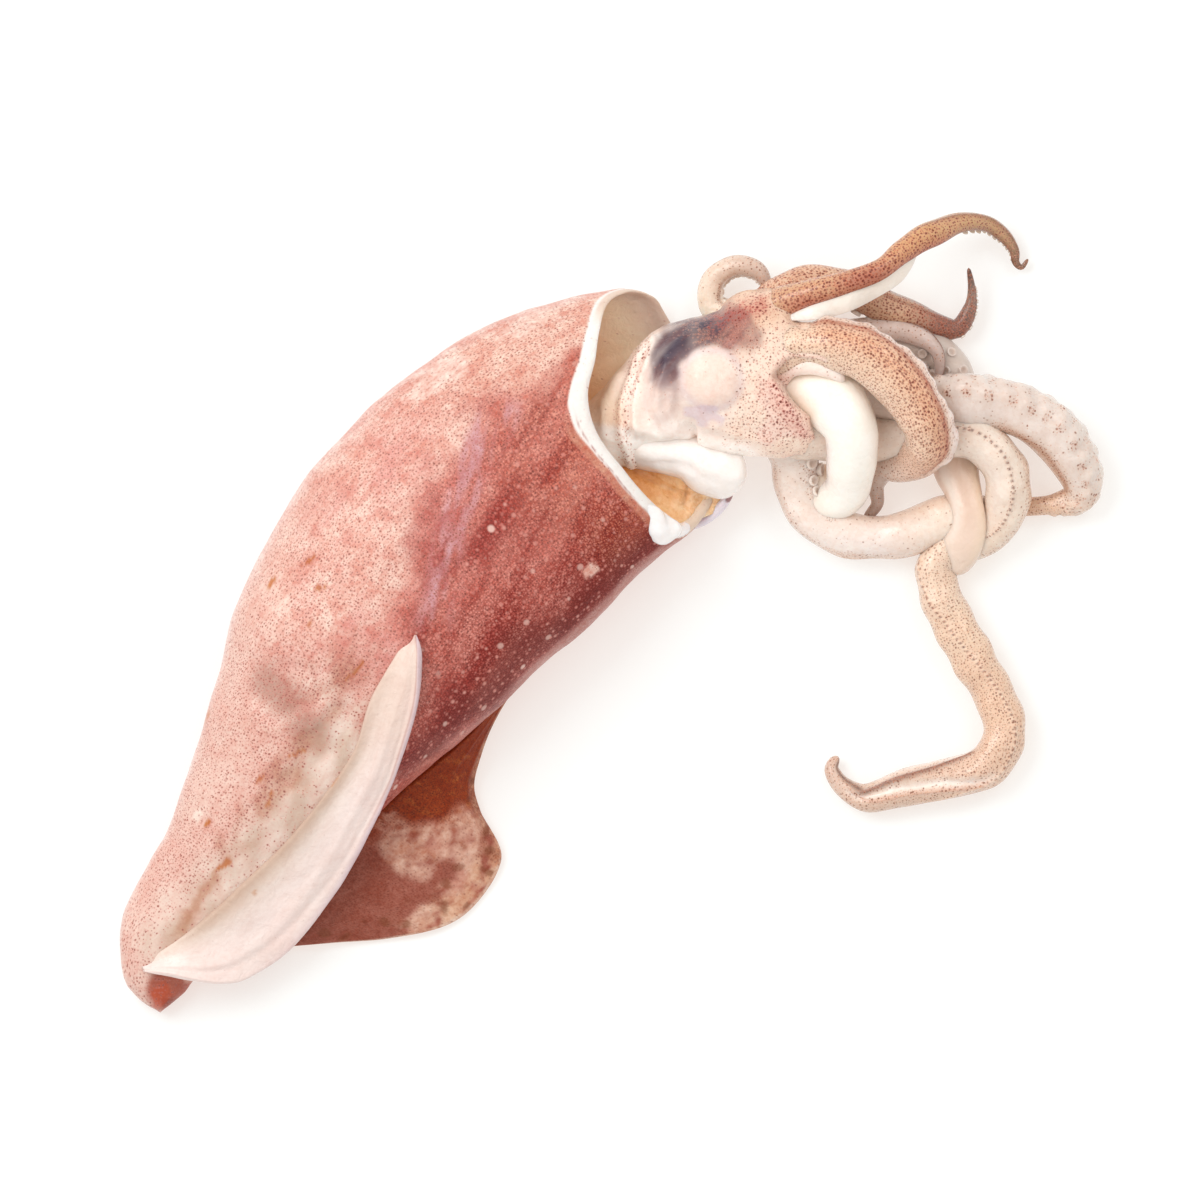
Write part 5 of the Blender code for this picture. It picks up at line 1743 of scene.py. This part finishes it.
    def dress(self, head: Piece) -> None:
        """Paint the zones of the head."""
        places, normals = places_of(head), normals_of(head)
        upward = ease(normals[:, 2], -0.2, 0.3)
        x, y = places[:, 0], places[:, 1]
        patchy = lumps(places, 5.0, 74)
        tint = all_over(places, 254, 238, 228)
        spotted = np.maximum(ease(x + 1.5 * patchy, 24, 34),
                             ease(x + 0.3 * y + 1.5 * patchy, 36, 44) * ease(y, 62, 68))
        lay(tint, spotted * upward, 252, 232, 216)
        crown = ease(y - 0.25 * x + 1.5 * patchy, 54, 63) * ease(x, 20, 28)
        lay(tint, crown * 0.75, 230, 196, 166)
        neck = ease(x + patchy, 6, 0)
        lay(tint, neck * 0.8, 240, 214, 188)
        milk = ease(y + 0.28 * x + patchy, 55, 48) * ease(x, 6, 12) * ease(x, 42, 34)
        lay(tint, milk * 0.9, 255, 248, 244)
        lay(tint, ease(y + 0.15 * x, 47.5, 45.0) * ease(x, 38, 32), 255, 252, 248)
        grey = patch(places, (13.5, 55.0), (4.5, 8.0), 10, 0.4, 81)
        lay(tint, grey * 0.5, 226, 204, 198)
        blushing = patch(places, (42.5, 49.5), (8.0, 5.0), -60, 0.4, 75)
        lay(tint, blushing * 0.5, 250, 216, 206)
        edge = ease(off_path(places, self.hood) + 0.5 * patchy, 4.0, 1.0) * ease(y, 38, 42)
        lay(tint, edge * 0.35 * upward, 246, 194, 176)
        streak = hump(off_path(places, [(26.0, 71.6), (31.5, 74.0), (38.0, 76.6)])
                      + 0.6 * lumps(places, 1.6, 83), 0.0, 2.4)
        lay(tint, streak * 0.6, 206, 142, 124)
        dots = np.clip(0.92 * spotted + 0.05 + 0.3 * crown, 0, 1.2) * upward
        dots *= 1 - 0.9 * milk
        dots = np.maximum(dots, 1.2 * streak)
        ridge = hump(off_path(places, self.folds[0][0]), 1.0, 1.0)
        dots = np.maximum(dots, ridge * 0.9 * upward)
        red = np.clip(0.1 * spotted + 0.15 * crown + 0.45 * edge + 0.4 * blushing
                      + 0.9 * streak + 0.6 * ridge, 0, 1)
        dots, red = self.paint_eye(places, upward, tint, dots, red)
        inside = self.inside_hood(places)
        lay(tint, inside * 0.95, 255, 244, 236)
        dots *= 1 - inside * ease(y, 63.0, 61.0)
        # Painted glow that lightens the neck's recess, the milky flesh and the lower side, standing in
        # for light through the flesh.
        glow = 0.45 * ease(x, 14, 1) + 0.4 * milk + 0.25 * ease(y, 46, 42)
        paint(head, tint, dots, red, 1.0, glow)
        self.build_fold()
        put_on(head, HEAD_SKIN.build(), Slot.HEAD.value, "head")

    def paint_eye(self, places: Array, upward: Array, tint: Array, dots: Array,
                  red: Array) -> tuple[Array, ...]:
        """Paint the milky eye and the purple arc round it.

        Args:
            places: Vertex places of the head.
            upward: How far each vertex faces up.
            tint: Tint so far, which is changed.
            dots: Dots so far.
            red: Redness so far.

        Returns:
            The dots and the redness with the eye laid over them.
        """
        gap_x, gap_y = places[:, 0] - self.eye[0], places[:, 1] - self.eye[1]
        gap = np.hypot(gap_x, gap_y)
        way = np.mod(np.degrees(np.arctan2(gap_y, gap_x)) + 90, 360) - 90
        uneven = lumps(places, 3.2, 77)
        reach = through([(10, 12.0), (40, 17.0), (60, 19.0), (90, 18.6), (112, 18.0),
                         (144, 16.8), (168, 16.0), (190, 14.0), (225, 10.5)], way)
        arc = (ease(way + 6 * uneven, 20, 70) * ease(way + 6 * uneven, 212, 172)
               * ease(gap + 0.5 * uneven, 6.8, 9.6)
               * ease(gap + 0.8 * uneven, reach + 1.5, reach - 1.5))
        arc *= np.clip(0.92 + 0.25 * fibres(places, (0.6, 0.8), 1.1, 84), 0, 1)
        lay(tint, arc * 0.94 * upward, 116, 88, 94)
        lay(tint, arc * ease(way, 92, 62) * 0.85, 172, 116, 104)
        lay(tint, arc * ease(way, 150, 196) * 0.5, 206, 180, 180)
        middle = through([(60, 13.6), (93, 13.0), (123, 12.6), (144, 13.2), (170, 13.6)], way)
        core = arc * hump(gap + 0.4 * uneven, middle, 3.1) * ease(way, 60, 92) * ease(way, 190, 158)
        lay(tint, core * 0.95, 70, 58, 76)
        threads = arc * ease(fibres(places, (0.7, 0.7), 1.2, 78) + 0.4 * uneven, 0.1, 0.9)
        lay(tint, threads * 0.55, 112, 60, 62)
        milky = ease(gap + 0.7 * uneven, 8.8, 5.2)
        lay(tint, milky * 0.95, 250, 227, 215)
        blush = milky * ease(lumps(places * np.array((1.4, 0.6, 1.0)), 4.0, 79), -0.2, 1.2)
        lay(tint, blush * 0.5, 248, 210, 198)
        lay(tint, hump(gap, 7.4, 1.0) * 0.35, 222, 206, 216)
        # Painted lilac highlight on the wet skin below the eye.
        lilac = patch(places, (23.6, 49.0), (4.4, 2.2), -10, 0.3, 80)
        lay(tint, lilac * 0.45, 214, 196, 218)
        dots = dots * (1 - milky) * (1 - 0.5 * core)
        red = np.maximum(red * (1 - milky), arc * 0.6 * ease(way, 110, 50))
        dots = np.maximum(dots, 1.2 * arc * ease(way, 96, 66) * (1 - milky))
        return dots, red


@dataclass
class MouthParts:
    """What shows in and by the mantle's mouth: funnel, brown membrane and white gristle."""

    form: MantleForm
    funnel: Rows = field(default_factory=lambda: [
        (-1.0, 42.6, 14.0, 3.8, 6.4), (4.0, 41.0, 16.0, 4.8, 7.4), (9.0, 40.6, 16.6, 5.4, 8.0),
        (14.6, 40.4, 16.8, 5.8, 8.0), (20.0, 39.0, 16.6, 6.2, 8.0), (25.4, 36.2, 15.8, 7.2, 8.0),
        (29.8, 34.4, 14.6, 6.6, 7.2), (33.8, 33.6, 13.4, 4.4, 5.6)])
    rim: Rows = field(default_factory=lambda: [
        (17.6, 21.6, 8.0, 1.8), (20.6, 21.8, 8.4, 1.5), (24.2, 23.2, 9.4, 1.4),
        (27.6, 26.0, 10.6, 1.4), (29.6, 29.0, 11.0, 1.3), (30.4, 32.0, 11.2, 1.2)])

    def build(self) -> None:
        """Model and dress the parts."""
        self.build_funnel()
        self.build_membrane()
        self.build_gristle()

    def build_funnel(self) -> None:
        """Smooth white funnel with a soft fold along it."""
        sweep = Sweep(self.funnel)
        piece, u, v = new_grid("funnel_flesh", 72, 110)
        angle, length = u * 360.0 - 90.0, v * sweep.line.length
        base = sweep.point(length, angle)
        ends = sweep.round_ends(length, 4.0)
        lift = 0.35 * lumps(base, 6.0, 91) + 0.12 * lumps(base, 2.4, 92)
        lift -= 0.5 * hump(turned(angle, 40.0 + 30 * v), 0.0, 12.0) * ease(v, 0.2, 0.4)
        set_places(piece, sweep.point(length, angle, ends, lift * ends))
        tint = all_over(base, 255, 249, 246)
        lay(tint, ease(v, 0.35, 0.0), 250, 232, 214)
        # Painted warm shade on the funnel's underside.
        lay(tint, ease(turned(angle, 0.0), -30, -80) * 0.5, 240, 210, 184)
        # glow is a painted glow, standing in for light through the flesh.
        paint(piece, tint, glow=0.2)
        close_up(piece)
        put_on(piece, PALE_FLESH.build(), Slot.PALE.value, "funnel")

    def build_membrane(self) -> None:
        """Thin pleated brown membrane between the funnel and the mantle's lip."""
        near = [(1.6, 35.6, 18.0), (6.2, 30.2, 19.2), (11.2, 25.6, 19.0), (17.4, 21.8, 17.0),
                (26.4, 24.6, 10.2)]
        far = [(6.4, 38.0, 16.0), (12.0, 37.4, 17.4), (18.0, 35.2, 16.6), (24.0, 33.4, 13.6),
               (30.2, 30.4, 11.2)]
        flap = Flap("mouth_membrane", near, far, -3.4, 0.9, 0.9, columns=120, rows=64,
                    wave=0.0, folds=((0.25, 0.06, 0.05, 0.4), (0.5, 0.08, 0.05, -0.5),
                                     (0.72, 0.05, 0.04, 0.5)), seed=15)
        piece, place, along, across, _ = flap.build()
        pleats = 0.4 * np.sin(along * 46 + 4 * across) * ease(along, 0.3, 0.6)
        pleats *= ease(along, 0.97, 0.85) * np.sin(math.pi * across)
        place[:, 2] = np.maximum(place[:, 2] + pleats, OFF_TABLE)
        set_places(piece, place)
        tint = np.tile(np.array((0.96, 0.60, 0.32)), (len(place), 1))
        pale = ease(along + 0.12 * lumps(place, 2.6, 93), 0.5, 0.8)
        tint = blend(tint, pale * 0.75, (1.0, 0.84, 0.66))
        tint = blend(tint, ease(along, 0.50, 0.1) * 0.7, (0.80, 0.34, 0.09))
        line = hump(off_path(place, [(18.5, 36.0), (19.5, 32.0), (18.5, 27.0)]), 0, 0.4)
        lay(tint, line * 0.35, 150, 96, 66)
        # glow is a painted glow, standing in for light through the membrane.
        paint(piece, tint, glow=0.12)
        close_up(piece)
        put_on(piece, Skin("membrane", shade=tone(250, 226, 196), mottle=0.8, roughness=0.24,
                           wetness=0.7, flesh=0.6, wrinkle=0.2).build(), Slot.PALE.value)

    def build_gristle(self) -> None:
        """Knobs of white gristle on the lip's lower corner."""
        knobs = []
        swelling = ((-14, 1.2), (16, 1.9), (22, 2.9), (28, 3.7), (33, 3.9), (38, 3.2),
                    (43, 2.2), (48, 1.5))
        for angle in range(8, 49, 2):
            size = float(through(swelling, np.array([angle]))[0])
            back = 1.6 * math.exp(-((angle - 32) / 10) ** 2) + 0.02 * angle
            spot = self.form.point(self.form.mouth(np.array([angle])) - back + 1.2,
                                   np.array([float(angle)]), 1.2)[0]
            pick()
            bpy.ops.mesh.primitive_uv_sphere_add(segments=40, ring_count=28, radius=size * MM,
                                                 location=(0, 0, 0))
            knob = bpy.context.object
            shape = places_of(knob)
            shape += shape / size * (0.2 * (size - 1) * lumps(shape + spot, 3.4, 115))[:, None]
            shape[:, 2] *= 0.62
            set_places(knob, shape + spot)
            knobs.append(knob)
        knobs.append(Sweep(self.rim).blank("rim", 32, 0.8, 1.5))
        piece = join("mouth_gristle", knobs)
        apply(piece, "REMESH", mode="VOXEL", voxel_size=0.34 * MM)
        apply(piece, "SMOOTH", factor=0.5, iterations=24)
        close_up(piece)
        place = places_of(piece)
        tint = all_over(place, 255, 252, 252)
        # Painted lilac-grey sheen on the wet rim of the gristle's right part.
        lay(tint, ease(place[:, 0], 17, 24) * 0.6, 226, 214, 232)
        edge = patch(place, (30.0, 28.6), (1.6, 0.7), 62, 0.3, 116)
        lay(tint, edge * 0.8, 150, 84, 80)
        paint(piece, tint)
        put_on(piece, PALE_FLESH.build(), Slot.PALE.value)


@dataclass
class Web:
    """Thin white keel skin that hangs from the upper arm."""

    root: Rows = field(default_factory=lambda: [
        (42.6, 74.0, 24.5), (50.0, 77.4, 26.6), (58.0, 80.2, 27.4), (66.0, 84.0, 26.0),
        (72.4, 88.2, 23.6), (77.4, 91.6, 21.0)])
    edge: Rows = field(default_factory=lambda: [
        (41.6, 72.6, 25.5), (50.0, 72.6, 27.6), (58.5, 74.4, 26.0), (66.5, 78.2, 23.0),
        (72.8, 82.2, 21.0), (76.4, 88.2, 19.5)])

    def build(self) -> None:
        """Model and dress the web."""
        flap = Flap("arm_upper_web", self.root, self.edge, 0.8, 1.6, 0.9, columns=150, rows=50,
                    wave=0.5, wave_pitch=9.0, seed=21)
        piece, place, along, across, _ = flap.build()
        tint = all_over(place, 255, 244, 234)
        lay(tint, ease(across, 0.3, 0.0) * 0.4, 246, 214, 190)
        paint(piece, tint)
        close_up(piece)
        put_on(piece, PALE_FLESH.build(), Slot.LIMB.value)


# -------------------- studio
@dataclass
class Studio:
    """White table, soft light from the upper left and a camera straight above."""

    table_size: float = 3.0
    view_middle: tuple[float, float] = (-2.4, 2.9)
    view_width: float = 300.0
    lens: float = 900.0
    target: tuple[float, float, float] = (0, 0, 0.01)    # what the lamps point at, in metres

    def build(self) -> None:
        """Set up the table, the lights and the camera."""
        pick()
        bpy.ops.mesh.primitive_plane_add(size=self.table_size, location=(0, 0, -0.00005))
        table = bpy.context.object
        table.name = "table"
        paper = Graph("table_white")
        paper.shader.inputs["Base Color"].default_value = (0.36, 0.48, 0.52, 1)
        paper.shader.inputs["Emission Color"].default_value = (0.63, 0.51, 0.46, 1)
        paper.shader.inputs["Emission Strength"].default_value = 1.0
        paper.shader.inputs["Roughness"].default_value = 0.6
        paper.shader.inputs["Specular IOR Level"].default_value = 0.2
        table.data.materials.append(paper.material)
        world = bpy.data.worlds.new("studio_air")
        bpy.context.scene.world = world
        world.use_nodes = True
        air = world.node_tree.nodes["Background"].inputs
        air["Color"].default_value = (1.0, 0.985, 0.96, 1)
        air["Strength"].default_value = 0.86
        self.lamp("window", (-0.75, 0.55, 1.15), 0.85, 11.0, (1.0, 0.99, 0.97))
        self.lamp("fill", (0.7, 0.9, 1.3), 0.6, 3.4, (1.0, 0.98, 0.95))
        bpy.ops.object.camera_add(location=(self.view_middle[0] * MM, self.view_middle[1] * MM,
                                            self.lens * self.view_width * MM / SENSOR),
                                  rotation=(0, 0, 0))
        camera = bpy.context.object
        camera.data.lens = self.lens
        camera.data.sensor_width = SENSOR
        camera.data.clip_end = 20.0
        bpy.context.scene.camera = camera
        bpy.context.scene.view_settings.view_transform = "Standard"

    def lamp(self, name: str, place: tuple[float, float, float], size: float, power: float,
             colour: Colour) -> None:
        """Square soft lamp that points at the squid.

        Args:
            name: Its name.
            place: Where it hangs, in metres.
            size: Side of its square in metres.
            power: Power in watts.
            colour: Linear colour.
        """
        way = Vector(self.target) - Vector(place)
        bpy.ops.object.light_add(type="AREA", location=place,
                                 rotation=way.to_track_quat("-Z", "Y").to_euler())
        lamp = bpy.context.object
        lamp.name = name
        lamp.data.size = size
        lamp.data.energy = power
        lamp.data.color = colour


def main() -> None:
    """Build the squid's looks piece by piece."""
    logging.basicConfig(level=logging.INFO, format="%(message)s")
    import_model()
    form = MantleForm()
    Mantle(form).build()
    Fins(form).build()
    mouth = MouthParts(form)
    mouth.build()
    arms = limbs()
    Head().build({"funnel": mouth.funnel, **{arm.name: arm.route for arm in arms}})
    Web().build()
    for arm in arms:
        arm.build()
    Studio().build()


if __name__ == "__main__":
    main()
